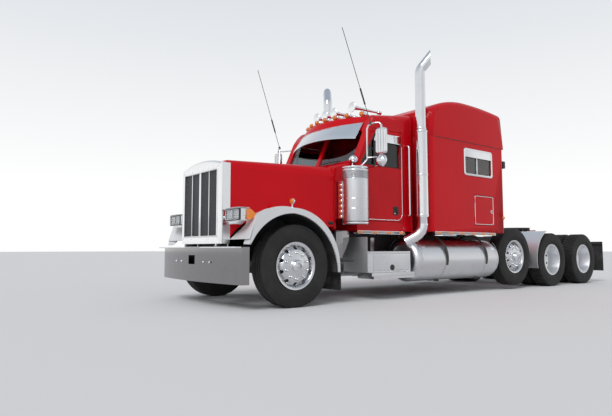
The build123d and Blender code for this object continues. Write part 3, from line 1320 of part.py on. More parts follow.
# Suspension: leaf packs over the steer axle, lift bags on the pusher and air springs at the drives
LEAF_W = 76
LEAF_REAR = STEER_X - 700
LEAF_FRONT = STEER_X + 560
LEAF_END = 50
LEAF_T = 20
LEAF_EYE = RAIL_BOTTOM - 45
SADDLE_L = 110
SADDLE_H = 64
AIR_SPRING_R = 115
AIR_SPRING_H = 105
AIR_SPRING_BACK = 260
LIFT_BAG_R = 100
with BuildPart() as suspension:
    for side in (1, -1):
        with BuildSketch(side_plane(side * (PAD_Y + LEAF_W / 2))):
            with BuildLine():
                ThreePointArc((LEAF_REAR, LEAF_EYE), (STEER_X, BEAM_TOP + SEAT + 60), (LEAF_FRONT, LEAF_EYE))
                Line((LEAF_FRONT, LEAF_EYE), (LEAF_FRONT, RAIL_BOTTOM))
                Line((LEAF_FRONT, RAIL_BOTTOM), (LEAF_FRONT - LEAF_END, RAIL_BOTTOM))
                Line((LEAF_FRONT - LEAF_END, RAIL_BOTTOM), (LEAF_FRONT - LEAF_END - LEAF_T,
                                                            RAIL_BOTTOM - LEAF_T))
                ThreePointArc((LEAF_FRONT - LEAF_END - LEAF_T, RAIL_BOTTOM - LEAF_T),
                              (STEER_X, BEAM_TOP + SEAT + 60 + LEAF_T),
                              (LEAF_REAR + LEAF_END + LEAF_T, RAIL_BOTTOM - LEAF_T))
                Line((LEAF_REAR + LEAF_END + LEAF_T, RAIL_BOTTOM - LEAF_T), (LEAF_REAR + LEAF_END,
                                                                             RAIL_BOTTOM))
                Line((LEAF_REAR + LEAF_END, RAIL_BOTTOM), (LEAF_REAR, RAIL_BOTTOM))
                Line((LEAF_REAR, RAIL_BOTTOM), (LEAF_REAR, LEAF_EYE))
            make_face()
        extrude(amount=side * LEAF_W)
        with BuildSketch(side_plane(side * (PAD_Y + LEAF_W / 2))):
            with Locations((STEER_X, BEAM_TOP + SEAT + SADDLE_H / 2)):
                Rectangle(SADDLE_L, SADDLE_H)
        extrude(amount=side * LEAF_W)
        for x in (DRIVE_X, REAR_DRIVE_X):
            with BuildSketch(side_plane(side * (PAD_Y + LEAF_W / 2))):
                with BuildLine():
                    Polyline((x - 330, RAIL_BOTTOM - 120), (x - 60, TYRE_R + AXLE_TUBE_R + SEAT),
                             (x + 60, TYRE_R + AXLE_TUBE_R + SEAT), (x + 440, RAIL_BOTTOM - 150),
                             (x + 500, RAIL_BOTTOM - 150), (x + 500, RAIL_BOTTOM), (x + 430, RAIL_BOTTOM),
                             (x + 400, RAIL_BOTTOM - 90), (x + 60, TYRE_R + AXLE_TUBE_R + 40),
                             (x - 60, TYRE_R + AXLE_TUBE_R + 40), (x - 330, RAIL_BOTTOM - 90), close=True)
                make_face()
            extrude(amount=side * LEAF_W)
            with BuildSketch(Plane(origin=(x - AIR_SPRING_BACK, side * PAD_Y, RAIL_BOTTOM - AIR_SPRING_H))):
                Circle(AIR_SPRING_R)
            extrude(amount=AIR_SPRING_H)
        with BuildSketch(Plane(origin=(PUSHER_X, side * PAD_Y,
                                       PUSHER_Z + PUSHER_BEAM_R - PUSHER_DROP + SEAT))):
            Circle(LIFT_BAG_R)
        extrude(amount=RAIL_BOTTOM - PUSHER_Z - PUSHER_BEAM_R + PUSHER_DROP - SEAT)
write(suspension, "suspension")

# Fifth wheel: a base on the rails with two trunnions, and the greased plate that rocks on them
FIFTH_X = (DRIVE_X + REAR_DRIVE_X) / 2 + 150
FIFTH_TOP = 1200
FIFTH_T = 40
TRUNNION_Z = 1105
TRUNNION_Y = 300
TRUNNION_W = 60
TRUNNION_PIN_R = 20
KING_BORE_R = 25.6
TRUNNION_FOOT = 160
TRUNNION_HEAD = 40
PIN_PROUD = 45
BASE_L = 500
BASE_T = 16
with BuildPart() as fifth_wheel_base:
    with BuildSketch(Plane.XY.offset(RAIL_TOP)):
        with Locations((FIFTH_X, 0)):
            Rectangle(BASE_L, 2 * FRAME_HALF)
    extrude(amount=BASE_T)
    for side in (1, -1):
        with BuildSketch(side_plane(side * (TRUNNION_Y + TRUNNION_W / 2))):
            with BuildLine():
                Polyline((FIFTH_X - TRUNNION_FOOT, RAIL_TOP + BASE_T), (FIFTH_X + TRUNNION_FOOT,
                                                                        RAIL_TOP + BASE_T),
                         (FIFTH_X + TRUNNION_HEAD, TRUNNION_Z + TRUNNION_PIN_R),
                         (FIFTH_X - TRUNNION_HEAD, TRUNNION_Z + TRUNNION_PIN_R), close=True)
            make_face()
        extrude(amount=side * TRUNNION_W)
        with BuildSketch(side_plane(side * (TRUNNION_Y + TRUNNION_W / 2 + PIN_PROUD))):
            with Locations((FIFTH_X, TRUNNION_Z)):
                Circle(TRUNNION_PIN_R)
        extrude(amount=side * (TRUNNION_W + 2 * PIN_PROUD))
write(fifth_wheel_base, "fifth_wheel_base")

FIFTH_HALF_W = 430
FIFTH_FRONT = 330
FIFTH_REAR = 560
PLATE_SHOULDER = 60
TAIL_HALF = 150
THROAT_HALF = 90
THROAT_END = FIFTH_X - 90
JAW_HALF = KING_BORE_R + 8
EAR_T = 20
EAR_GAP = 8
EAR_Y = TRUNNION_Y + TRUNNION_W / 2 + EAR_GAP
EAR_HALF = 40
EAR_DROP = 30
with BuildPart() as fifth_wheel_plate:
    with BuildSketch(Plane.XY.offset(FIFTH_TOP - FIFTH_T)):
        with BuildLine():
            shoulder = FIFTH_X - PLATE_SHOULDER
            tail = FIFTH_X - FIFTH_REAR
            ThreePointArc((shoulder, -FIFTH_HALF_W), (FIFTH_X + FIFTH_FRONT, 0), (shoulder, FIFTH_HALF_W))
            Polyline((shoulder, FIFTH_HALF_W), (tail, TAIL_HALF), (tail, THROAT_HALF), (THROAT_END,
                                                                                        JAW_HALF),
                     (THROAT_END, -JAW_HALF), (tail, -THROAT_HALF), (tail, -TAIL_HALF), (shoulder,
                                                                                         -FIFTH_HALF_W))
        make_face()
        with Locations((FIFTH_X, 0)):
            Circle(KING_BORE_R, mode=Mode.SUBTRACT)
    extrude(amount=FIFTH_T)
    for side in (1, -1):
        for across in (EAR_Y, EAR_Y - 2 * EAR_GAP - TRUNNION_W - EAR_T):
            with BuildSketch(side_plane(side * across)):
                with BuildLine():
                    Polyline((FIFTH_X - EAR_HALF, TRUNNION_Z - EAR_DROP), (FIFTH_X + EAR_HALF,
                                                                           TRUNNION_Z - EAR_DROP),
                             (FIFTH_X + 70, FIFTH_TOP - FIFTH_T), (FIFTH_X - 70, FIFTH_TOP - FIFTH_T),
                             close=True)
                make_face()
                with Locations((FIFTH_X, TRUNNION_Z)):
                    Circle(TRUNNION_PIN_R + RUN, mode=Mode.SUBTRACT)
            extrude(amount=-side * EAR_T)
write(fifth_wheel_plate, "fifth_wheel_plate")

# Interior: two seats on the floor, the dash with its steering wheel, seen through the glass
SEAT_X = CAB_REAR + 270
SEAT_Y = 480
SEAT_W = 500
CUSHION_Z = 340
BACKREST_Z = 1200
FLOOR_Z = CAB_LOW + CAB_WALL
with BuildPart() as seats:
    for side in (1, -1):
        with BuildSketch(side_plane(side * (SEAT_Y - SEAT_W / 2))):
            with BuildLine():
                cushion = FLOOR_Z + CUSHION_Z
                head = FLOOR_Z + BACKREST_Z
                Polyline((SEAT_X - 180, FLOOR_Z), (SEAT_X + 200, FLOOR_Z), (SEAT_X + 200, cushion),
                         (SEAT_X + 280, cushion + 10), (SEAT_X + 280, cushion + 130), (SEAT_X - 120,
                                                                                       cushion + 100),
                         (SEAT_X - 190, head), (SEAT_X - 215, head), (SEAT_X - 215, cushion),
                         (SEAT_X - 180, cushion - 10), close=True)
            make_face()
        extrude(amount=-side * SEAT_W)
write(seats, "seats")

DASH_TOP = BELT - 20
DASH_LOW = DASH_TOP - 510
DASH_HALF = CAB_HALF - CAB_WALL - 60
DASH_X = COWL_REAR - CAB_WALL - SEAT
HUB_RISE = 160
HUB_REACH = 420
COLUMN_R = 30
RING_R = 235
RING_T = 27
with BuildPart() as dashboard:
    with BuildSketch(side_plane(DASH_HALF)):
        with BuildLine():
            Polyline((DASH_X, DASH_LOW), (DASH_X, DASH_TOP), (DASH_X - 120, DASH_TOP),
                     (DASH_X - 260, DASH_TOP - 140), (DASH_X - 200, DASH_LOW), close=True)
        make_face()
    extrude(amount=2 * DASH_HALF)
    with BuildLine():
        column = Line((DASH_X - 200, SEAT_Y, DASH_TOP - 2 * HUB_RISE),
                      (DASH_X - HUB_REACH, SEAT_Y, DASH_TOP - HUB_RISE))
    with BuildSketch(Plane(origin=column @ 0, z_dir=column % 0)):
        Circle(COLUMN_R)
    sweep(path=column)
    with BuildSketch(Plane(origin=column @ 1, z_dir=column % 1)):
        Circle(RING_R)
        Circle(RING_R - RING_T, mode=Mode.SUBTRACT)
        Rectangle(2 * RING_R - RING_T, COLUMN_R)
        Rectangle(COLUMN_R, 2 * RING_R - RING_T)
        Circle(COLUMN_R + 20)
    extrude(amount=26)
write(dashboard, "dashboard")
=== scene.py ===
import json
import math
from contextlib import contextmanager

import bpy
from bpy.props import FloatProperty, FloatVectorProperty, IntProperty, PointerProperty
from mathutils import Matrix, Vector

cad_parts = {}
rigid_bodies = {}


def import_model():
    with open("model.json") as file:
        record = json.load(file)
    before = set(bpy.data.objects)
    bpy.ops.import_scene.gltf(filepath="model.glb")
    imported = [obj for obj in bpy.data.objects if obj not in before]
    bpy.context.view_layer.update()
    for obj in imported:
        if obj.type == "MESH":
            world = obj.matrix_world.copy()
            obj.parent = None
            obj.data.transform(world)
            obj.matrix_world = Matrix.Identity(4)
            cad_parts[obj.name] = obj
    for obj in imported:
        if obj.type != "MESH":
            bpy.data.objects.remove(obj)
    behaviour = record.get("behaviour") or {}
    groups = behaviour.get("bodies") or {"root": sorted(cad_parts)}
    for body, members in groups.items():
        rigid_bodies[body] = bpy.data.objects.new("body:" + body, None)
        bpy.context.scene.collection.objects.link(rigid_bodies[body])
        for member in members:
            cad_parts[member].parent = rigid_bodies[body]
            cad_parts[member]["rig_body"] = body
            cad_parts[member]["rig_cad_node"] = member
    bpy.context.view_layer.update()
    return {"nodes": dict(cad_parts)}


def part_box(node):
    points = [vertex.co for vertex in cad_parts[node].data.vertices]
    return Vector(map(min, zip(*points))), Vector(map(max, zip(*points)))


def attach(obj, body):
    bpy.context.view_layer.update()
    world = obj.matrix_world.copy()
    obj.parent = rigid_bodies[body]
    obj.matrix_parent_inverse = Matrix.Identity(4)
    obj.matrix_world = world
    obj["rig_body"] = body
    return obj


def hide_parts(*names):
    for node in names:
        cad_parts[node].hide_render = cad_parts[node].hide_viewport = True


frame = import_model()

bl_info = {
    "name": "Sleeper Tractor Looks",
    "version": (1, 0, 0),
    "blender": (4, 5, 0),
    "location": "View3D > Sidebar > Tractor",
    "description": "Dresses a long-hood sleeper tractor unit with its finishes, lamps, trim and tyres",
    "category": "Object",
}

X, Y, Z = Vector((1, 0, 0)), Vector((0, 1, 0)), Vector((0, 0, 1))


def centre_of(node):
    low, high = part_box(node)
    return (low + high) / 2


# Places shared by many pieces, in metres, read from the frame
STEER = centre_of("steer_tyre_left")
PUSHER = centre_of("pusher_tyre_left")
DRIVE = centre_of("front_drive_tyres_left")
REAR_DRIVE = centre_of("rear_drive_tyres_left")
TYRE_R = STEER.z
DOOR_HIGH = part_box("door_left")[1]
SLEEPER_LOW, SLEEPER_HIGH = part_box("sleeper")
SHELL_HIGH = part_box("radiator_shell")[1]
SLEEPER_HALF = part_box("locker_door_left")[1].y
SIDES = (("left", 1), ("right", -1))


def colour_setting(name, text, default):
    return FloatVectorProperty(name=name, description=text, default=default, size=3, subtype="COLOR")


def length_setting(name, text, default):
    return FloatProperty(name=name, description=text, default=default, subtype="DISTANCE", unit="LENGTH")


def angle_setting(name, text, degrees):
    return FloatProperty(name=name, description=text, default=math.radians(degrees), subtype="ANGLE", unit="ROTATION")


class StageSettings(bpy.types.PropertyGroup):
    """The camera, floor and light."""
    camera_place: FloatVectorProperty(name="Camera place", description="Where the camera stands",
                                      default=(7.767, 6.496, 0.751), size=3, subtype="TRANSLATION", unit="LENGTH")
    camera_pitch: angle_setting("Camera pitch", "Tilt of the view above level", 4.43)
    camera_heading: angle_setting("Camera heading", "Turn of the camera about the upright axis", 142.54)
    lens: FloatProperty(name="Lens", description="Focal length on a 36 mm wide sensor", default=30.57, unit="CAMERA")
    floor_colour: colour_setting("Floor", "Colour of the floor", (0.8, 0.8, 0.81))
    sun_strength: FloatProperty(name="Key light", description="Strength of the broad key light", default=1.45)
    sky_strength: FloatProperty(name="Fill light", description="Strength of the light from all round", default=0.5)


class FinishSettings(bpy.types.PropertyGroup):
    """Colours of the paint, rubber, lenses and trim."""
    red: colour_setting("Red", "Body paint", (0.62, 0.0015, 0.008))
    white: colour_setting("White", "Fender paint", (0.78, 0.79, 0.8))
    chrome: colour_setting("Chrome", "Plated trim", (0.76, 0.77, 0.79))
    alloy: colour_setting("Alloy", "Polished alloy", (0.68, 0.69, 0.71))
    black: colour_setting("Black", "Chassis paint", (0.022, 0.022, 0.023))
    rubber: colour_setting("Rubber", "Tyres and flaps", (0.015, 0.0145, 0.0145))
    amber: colour_setting("Amber", "Marker lenses", (0.88, 0.24, 0.008))


class FittingSettings(bpy.types.PropertyGroup):
    """Sizes of the repeated fittings."""
    tread_steps: IntProperty(name="Tyre steps", description="Faces round a tyre", default=72, min=24)
    drive_lugs: IntProperty(name="Drive lugs", description="Tread blocks round a drive tyre", default=48, min=12)
    groove_depth: length_setting("Groove depth", "Depth of the tread grooves", 0.014)
    nut_circle: length_setting("Nut circle", "Radius of the ring of wheel nuts", 0.1675)


class Wire:
    """An output socket that takes part in arithmetic by adding Math nodes."""

    def __init__(self, shade, socket):
        self.shade = shade
        self.socket = socket

    def __add__(self, other):
        return self.shade.maths("ADD", self, other)

    def __radd__(self, other):
        return self.shade.maths("ADD", other, self)

    def __sub__(self, other):
        return self.shade.maths("SUBTRACT", self, other)

    def __rsub__(self, other):
        return self.shade.maths("SUBTRACT", other, self)

    def __mul__(self, other):
        return self.shade.maths("MULTIPLY", self, other)

    def __rmul__(self, other):
        return self.shade.maths("MULTIPLY", other, self)

    def __truediv__(self, other):
        return self.shade.maths("DIVIDE", self, other)

    def __rtruediv__(self, other):
        return self.shade.maths("DIVIDE", other, self)


class Shade:
    """One material, with its principled surface and the nodes that feed it."""

    def __init__(self, name, **constants):
        self.material = bpy.data.materials.new(name)
        self.material.use_nodes = True
        self.tree = self.material.node_tree
        self.tree.nodes.clear()
        self.surface = self.tree.nodes.new("ShaderNodeBsdfPrincipled")
        output = self.tree.nodes.new("ShaderNodeOutputMaterial")
        self.tree.links.new(self.surface.outputs[0], output.inputs["Surface"])
        for socket, value in constants.items():
            self.surface.inputs[socket.replace("_", " ")].default_value = value
        self.place = self.add("ShaderNodeTexCoord", output="Object")

    def feed(self, socket, value):
        if isinstance(value, Wire):
            self.tree.links.new(value.socket, socket)
        else:
            socket.default_value = (*value, 1.0) if socket.type == "RGBA" else value

    def add(self, kind, settings=None, inputs=None, output=0, stops=None):
        """A node of the given type, with its settings and ramp stops set before its inputs."""
        node = self.tree.nodes.new(kind)
        for key, value in (settings or {}).items():
            setattr(node, key, value)
        if stops:
            for stop, (position, tone) in zip(node.color_ramp.elements, stops):
                stop.position = position
                stop.color = (*tone, 1.0)
        for key, value in (inputs or {}).items():
            self.feed(node.inputs[key], value)
        return Wire(self, node.outputs[output])

    def maths(self, operation, left, right=0.0):
        return self.add("ShaderNodeMath", {"operation": operation}, {0: left, 1: right})

    def mix(self, amount, first, second):
        """A colour between two colours."""
        return self.add("ShaderNodeMix", {"data_type": "RGBA"}, {0: amount, 6: first, 7: second}, output=2)

    def stretched(self, scale):
        return self.add("ShaderNodeMapping", inputs={"Vector": self.place, "Scale": scale})

    def noise(self, scale, detail=3.0, vector=None):
        return self.add("ShaderNodeTexNoise", inputs={"Vector": vector or self.place, "Scale": scale,
                                                      "Detail": detail})

    def step(self, value, low, high):
        """Rises smoothly from 0 to 1 as the value goes from low to high."""
        return self.add("ShaderNodeMapRange", {"interpolation_type": "SMOOTHSTEP"},
                        {"Value": value, "From Min": low, "From Max": high})

    def wave(self, value):
        """The sine of a value."""
        return self.maths("SINE", value)

    def size(self, value):
        return self.maths("ABSOLUTE", value)

    def part(self, axis):
        return self.add("ShaderNodeSeparateXYZ", inputs={0: self.place}, output=axis)

    def dust(self, top=0.9):
        """Road dust that thins out with height, broken up by noise."""
        height = 1.0 - self.step(self.part("Z"), 0.15, top)
        return height * self.step(self.noise(5.0, 5.0), 0.42, 0.72)

    def bump(self, height, strength, distance):
        normal = self.add("ShaderNodeBump", inputs={"Strength": strength, "Distance": distance, "Height": height})
        self.wire(Normal=normal)

    def wire(self, **values):
        for socket, value in values.items():
            self.feed(self.surface.inputs[socket.replace("_", " ")], value)
        return self.material


class Surround(Shade):
    """The nodes of the world."""

    def __init__(self, world):
        self.tree = world.node_tree
        self.tree.nodes.clear()


def toned(colour, share):
    """The colour made darker or lighter by a share."""
    return [level * share for level in colour]


def painted(name, colour, coat=0.22):
    """Clear-coated paint with a slight orange peel and a film of dust low down."""
    shade = Shade(name, Coat_Roughness=0.03, Specular_IOR_Level=0.08)
    dust = shade.dust(1.3) * 0.1
    deep = toned(colour, 0.93)
    paint = shade.mix(shade.step(shade.noise(0.9, 2.0), 0.35, 0.7), deep, colour)
    shade.bump(shade.noise(420.0, 1.0), 0.04, 0.0004)
    return shade.wire(Base_Color=shade.mix(dust, paint, (0.3, 0.27, 0.24)),
                      Roughness=0.32 + 0.05 * shade.noise(38.0) + 0.4 * dust, Coat_Weight=coat - 0.3 * dust)


def plated(name, colour, gloss=0.04, dark=0.8):
    """Chrome plate with a faint film, small smears and dust in the low places."""
    shade = Shade(name, Metallic=1.0)
    smear = shade.step(shade.noise(7.0, 5.0), 0.5, 0.8)
    dust = shade.dust(0.6) * 0.18
    film = shade.mix(smear * 0.3, colour, toned(colour, dark))
    shade.bump(shade.noise(1.1, 1.0), 0.05, 0.01)
    return shade.wire(Base_Color=shade.mix(dust, film, (0.3, 0.28, 0.26)),
                      Roughness=gloss + 0.05 * smear + 0.25 * dust)


def brushed(name, colour, grain, gloss=0.13):
    """Polished alloy with a fine grain drawn along one direction."""
    shade = Shade(name, Metallic=1.0)
    lines = shade.noise(60.0, 4.0, shade.stretched(grain))
    cloud = shade.noise(3.0, 4.0)
    dust = shade.dust(0.7) * 0.2
    shade.bump(lines, 0.04, 0.0008)
    tone = shade.mix(0.4 * lines, colour, toned(colour, 0.8))
    return shade.wire(Base_Color=shade.mix(dust, tone, (0.3, 0.28, 0.25)),
                      Roughness=gloss + 0.12 * cloud + 0.08 * lines + 0.3 * dust)


def satin(name, colour, rough=0.48, grain=90.0, depth=0.0012):
    """Chassis paint or moulded plastic with a fine grain and settled dust."""
    shade = Shade(name)
    dust = shade.dust(1.1) * 0.5
    patch = shade.noise(9.0, 5.0)
    shade.bump(shade.noise(grain, 3.0), 0.25, depth)
    tone = shade.mix(patch * 0.7, colour, [level * 1.9 + 0.004 for level in colour])
    return shade.wire(Base_Color=shade.mix(dust, tone, (0.17, 0.155, 0.14)),
                      Roughness=rough + 0.22 * patch + 0.2 * dust)


def rubber(name, colour):
    """Tyre rubber, greyed by dust, with fine pores."""
    shade = Shade(name, Specular_IOR_Level=0.35)
    worn = shade.step(shade.noise(14.0, 6.0), 0.35, 0.75)
    dust = shade.step(shade.noise(3.5, 4.0), 0.4, 0.8) * 0.45
    shade.bump(shade.noise(260.0, 4.0), 0.3, 0.0012)
    tone = shade.mix(worn, colour, toned(colour, 1.8))
    return shade.wire(Base_Color=shade.mix(dust, tone, (0.05, 0.047, 0.043)), Roughness=0.66 + 0.2 * worn)


def clear_glass(name, tint):
    """Window glass with a faint film."""
    shade = Shade(name, Transmission_Weight=1.0, IOR=1.46)
    return shade.wire(Base_Color=shade.mix(shade.noise(2.0) * 0.3, tint, toned(tint, 0.85)),
                      Roughness=0.01 + 0.02 * shade.step(shade.noise(6.0, 5.0), 0.5, 0.8))


def ribbed_lens(name, colour, glow, ribs=160.0, axis="Y"):
    """A moulded lens with fine upright flutes and a little light of its own."""
    shade = Shade(name, Coat_Weight=1.0, Coat_Roughness=0.05, Emission_Strength=glow)
    flute = shade.wave(shade.part(axis) * (ribs * math.tau))
    shade.bump(flute, 0.5, 0.003)
    tone = shade.mix(0.5 + 0.5 * flute, toned(colour, 0.78), colour)
    return shade.wire(Base_Color=tone, Emission_Color=tone, Roughness=0.16 + 0.1 * shade.noise(40.0))


def wire_cloth(name):
    """Woven wire mesh in front of a dark core."""
    shade = Shade(name, Specular_IOR_Level=0.3)
    turns = math.pi / 0.011
    across = shade.size(shade.wave(shade.part("Y") * turns))
    up = shade.size(shade.wave(shade.part("Z") * turns))
    hole = shade.step(across * up, 0.3, 0.55)
    shade.bump(1.0 - hole, 0.6, 0.003)
    return shade.wire(Base_Color=shade.mix(hole, (0.1, 0.1, 0.11), (0.012, 0.012, 0.014)),
                      Metallic=0.7 * (1.0 - hole), Roughness=0.35 + 0.4 * hole)


def silvered(name):
    """A clear fluted lamp glass with its bright reflector behind."""
    shade = Shade(name, Coat_Weight=1.0, Coat_Roughness=0.02)
    flute = shade.wave(shade.part("Y") * (math.tau * 95.0))
    cell = shade.wave(shade.part("Z") * (math.tau * 26.0))
    shade.bump(flute * 0.5 + cell, 0.5, 0.004)
    glint = shade.step(flute * cell, -0.2, 0.7)
    return shade.wire(Base_Color=shade.mix(glint, (0.42, 0.44, 0.47), (0.86, 0.88, 0.9)),
                      Metallic=0.75 + 0.2 * glint, Roughness=0.1 + 0.12 * shade.noise(30.0))


def perforated(name, colour):
    """Bright sheet pierced with rows of small round holes round an upright canister."""
    shade = Shade(name, Metallic=1.0)
    low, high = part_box("air_cleaners")
    radius = (high.x - low.x) / 2
    centre_x = (high.x + low.x) / 2
    centre_y = high.y - radius
    pitch = 0.0125
    out = shade.size(shade.part("Y")) - centre_y
    round_way = shade.maths("ARCTAN2", out, shade.part("X") - centre_x) * (radius / pitch * math.pi)
    up = shade.part("Z") * (math.pi / pitch)
    holes = shade.wave(round_way) * shade.wave(up)
    hole = shade.step(shade.size(holes), 0.35, 0.5)
    shade.bump(1.0 - hole, 0.6, 0.002)
    return shade.wire(Base_Color=shade.mix(hole, colour, (0.03, 0.03, 0.03)), Roughness=0.18 + 0.5 * hole)


def woven(name, colour):
    """Seat cloth with an over and under weave."""
    shade = Shade(name, Sheen_Weight=0.4, Sheen_Roughness=0.5)
    turns = math.tau * 260.0
    across = shade.wave(shade.part("Y") * turns)
    along = shade.wave((shade.part("X") + shade.part("Z")) * turns)
    weave = 0.5 + 0.5 * across * along
    shade.bump(weave, 0.5, 0.001)
    return shade.wire(Base_Color=shade.mix(weave, toned(colour, 0.5), colour),
                      Roughness=0.82 + 0.1 * shade.noise(60.0))


# For each finish: the material slot it stands for, its maker, and the maker's settings, a word being a set colour
RECIPES = {
    "red_paint": ("red_paint", painted, "red"),
    "white_paint": ("white_paint", painted, "white"),
    "white_trim": ("polished_alloy", painted, (0.7, 0.71, 0.72), 0.2),
    "chrome": ("chrome", plated, "chrome"),
    # A darker copy of the chrome; on the bumper its darkness is a painted reflection of dark ground
    "dark_chrome": ("chrome", plated, (0.31, 0.3, 0.305), 0.07),
    "bright_steel": ("chrome", plated, (0.88, 0.89, 0.9), 0.16),
    "spun_alloy": ("polished_alloy", brushed, "alloy", (1.0, 1.0, 1.0), 0.1),
    "tank_alloy": ("polished_alloy", brushed, "alloy", (0.06, 1.0, 1.0), 0.2),
    "sheet_alloy": ("polished_alloy", brushed, "alloy", (0.05, 0.05, 1.4), 0.16),
    "dished_alloy": ("polished_alloy", brushed, (0.84, 0.85, 0.87), (1.0, 1.0, 1.0), 0.34),
    "soft_alloy": ("polished_alloy", brushed, (0.8, 0.81, 0.83), (1.4, 1.4, 0.05), 0.38),
    "perforated_band": ("polished_alloy", perforated, "alloy"),
    "black_paint": ("black_steel", satin, "black"),
    "dark_mesh": ("black_steel", satin, (0.03, 0.03, 0.033), 0.4, 200.0, 0.002),
    "black_plastic": ("black_steel", satin, (0.016, 0.016, 0.017), 0.42, 150.0, 0.001),
    "wire_mesh": ("black_steel", wire_cloth),
    "cast_iron": ("cast_axle", satin, "black", 0.62, 45.0, 0.004),
    "dash_plastic": ("dash_plastic", satin, (0.035, 0.034, 0.036), 0.55, 180.0, 0.0015),
    "tyre_rubber": ("tyre_rubber", rubber, "rubber"),
    "flap_rubber": ("flap_rubber", satin, "rubber", 0.6, 60.0, 0.0015),
    "strap_lining": ("flap_rubber", satin, (0.03, 0.027, 0.025), 0.55, 120.0, 0.001),
    "window_glass": ("glass", clear_glass, (0.78, 0.84, 0.84)),
    "tinted_glass": ("glass", clear_glass, (0.1, 0.13, 0.14)),
    "lamp_glass": ("glass", silvered),
    "amber_lens": ("amber_lens", ribbed_lens, "amber", 0.06),
    "red_lens": ("amber_lens", ribbed_lens, (0.55, 0.01, 0.01), 0.15),
    "seat_cloth": ("seat_fabric", woven, (0.16, 0.16, 0.17)),
}


FINISHES = {}


def finish(name):
    """The material of that name, made when it is first asked for."""
    if name not in FINISHES:
        looks = bpy.context.scene.tractor_finish
        maker, *settings = RECIPES[name][1:]
        FINISHES[name] = maker(name, *(list(getattr(looks, value)) if isinstance(value, str) else value
                                       for value in settings))
    return FINISHES[name]


def deselect():
    bpy.ops.object.select_all(action="DESELECT")


def pick(*pieces):
    """Selects these pieces alone, the first one active."""
    deselect()
    for piece in pieces:
        piece.select_set(True)
    bpy.context.view_layer.objects.active = pieces[0]


@contextmanager
def editing(piece):
    """Edit mode on one piece with everything in it selected."""
    pick(piece)
    bpy.ops.object.mode_set(mode="EDIT")
    bpy.ops.mesh.select_all(action="SELECT")
    yield
    bpy.ops.object.mode_set(mode="OBJECT")


def settle(piece):
    """Puts the piece's place into its mesh."""
    pick(piece)
    bpy.ops.object.transform_apply(location=True, rotation=True, scale=True)
    return piece


def tidy(piece, gap=0.00002, angle=35.0):
    """Merges doubles, turns the faces outward and smooths across gentle edges."""
    with editing(piece):
        bpy.ops.mesh.remove_doubles(threshold=gap)
        bpy.ops.mesh.normals_make_consistent(inside=False)
    bpy.ops.object.shade_smooth_by_angle(angle=math.radians(angle))
    return piece


def modify(piece, kind, **settings):
    """Adds a modifier, sets it and applies it."""
    pick(piece)
    modifier = piece.modifiers.new(kind.lower(), kind)
    for key, value in settings.items():
        setattr(modifier, key, value)
    bpy.ops.object.modifier_apply(modifier=modifier.name)
    return piece


def join(pieces):
    """One mesh from a list of pieces, or the one piece itself."""
    if not isinstance(pieces, list):
        return pieces
    pick(*pieces)
    if len(pieces) > 1:
        bpy.ops.object.join()
    return bpy.context.object


def hand_over(pieces, name, material, body="chassis", replaces=()):
    """Joins and names finished pieces, gives them their finish and lets them ride on their body."""
    piece = join(pieces)
    piece.name = name
    piece.data.name = name
    piece.data.materials.clear()
    piece.data.materials.append(finish(material))
    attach(piece, body)
    if replaces:
        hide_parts(*replaces)
    return piece


def chain(points):
    """A line of vertices through the points, left in edit mode with all of it selected."""
    deselect()
    bpy.ops.mesh.primitive_plane_add(size=0.01, location=points[0])
    bpy.ops.object.transform_apply(location=True, rotation=True, scale=True)
    bpy.ops.object.mode_set(mode="EDIT")
    bpy.ops.mesh.select_all(action="SELECT")
    bpy.ops.mesh.merge(type="CENTER")
    for start, end in zip(points, points[1:]):
        bpy.ops.mesh.extrude_vertices_move(TRANSFORM_OT_translate={"value": Vector(end) - Vector(start)})
    bpy.ops.mesh.select_all(action="SELECT")
    return bpy.context.object


# For each axis, the direction along it and the direction in which radius is measured
LATHE_AXES = {"X": (X, Z), "Y": (Y, Z), "Z": (Z, X)}


def lathe(profile, centre, axis="Y", steps=48, angle=35.0):
    """Spins a profile of (along, radius) points once round an axis through the centre."""
    centre = Vector(centre)
    along, out = LATHE_AXES[axis]
    piece = chain([centre + along * place + out * radius for place, radius in profile])
    bpy.ops.mesh.spin(steps=steps, angle=math.tau, center=centre, axis=along)
    bpy.ops.object.mode_set(mode="OBJECT")
    return tidy(piece, 0.00004, angle)


def collar(centre, axis, start, end, inner, outer, steps=48):
    """A square-edged ring round an axis, from start to end along it."""
    return lathe([(start, inner), (start, outer), (end, outer), (end, inner), (start, inner)], centre, axis, steps)


def ring_copies(piece, centre, axis, count):
    """Repeats everything in the piece evenly round an axis."""
    with editing(piece):
        bpy.ops.mesh.spin(steps=count, dupli=True, angle=math.tau, center=centre, axis=axis)
        bpy.ops.mesh.select_all(action="SELECT")
        bpy.ops.mesh.remove_doubles(threshold=0.00002)
    return piece


def block(low, high, bevel=0.004, segments=2):
    """A rounded block between two corners, given in any order."""
    low, high = Vector(low), Vector(high)
    deselect()
    bpy.ops.mesh.primitive_cube_add(size=1.0, location=(low + high) / 2)
    piece = bpy.context.object
    piece.scale = [abs(value) for value in high - low]
    settle(piece)
    modify(piece, "BEVEL", width=bevel, segments=segments, limit_method="ANGLE")
    bpy.ops.object.shade_smooth_by_angle(angle=math.radians(40.0))
    return piece


# For each facing, the directions of an outline's two coordinates and of its place
FACINGS = {"side": (X, Z, Y), "front": (Y, Z, X), "top": (X, Y, Z)}


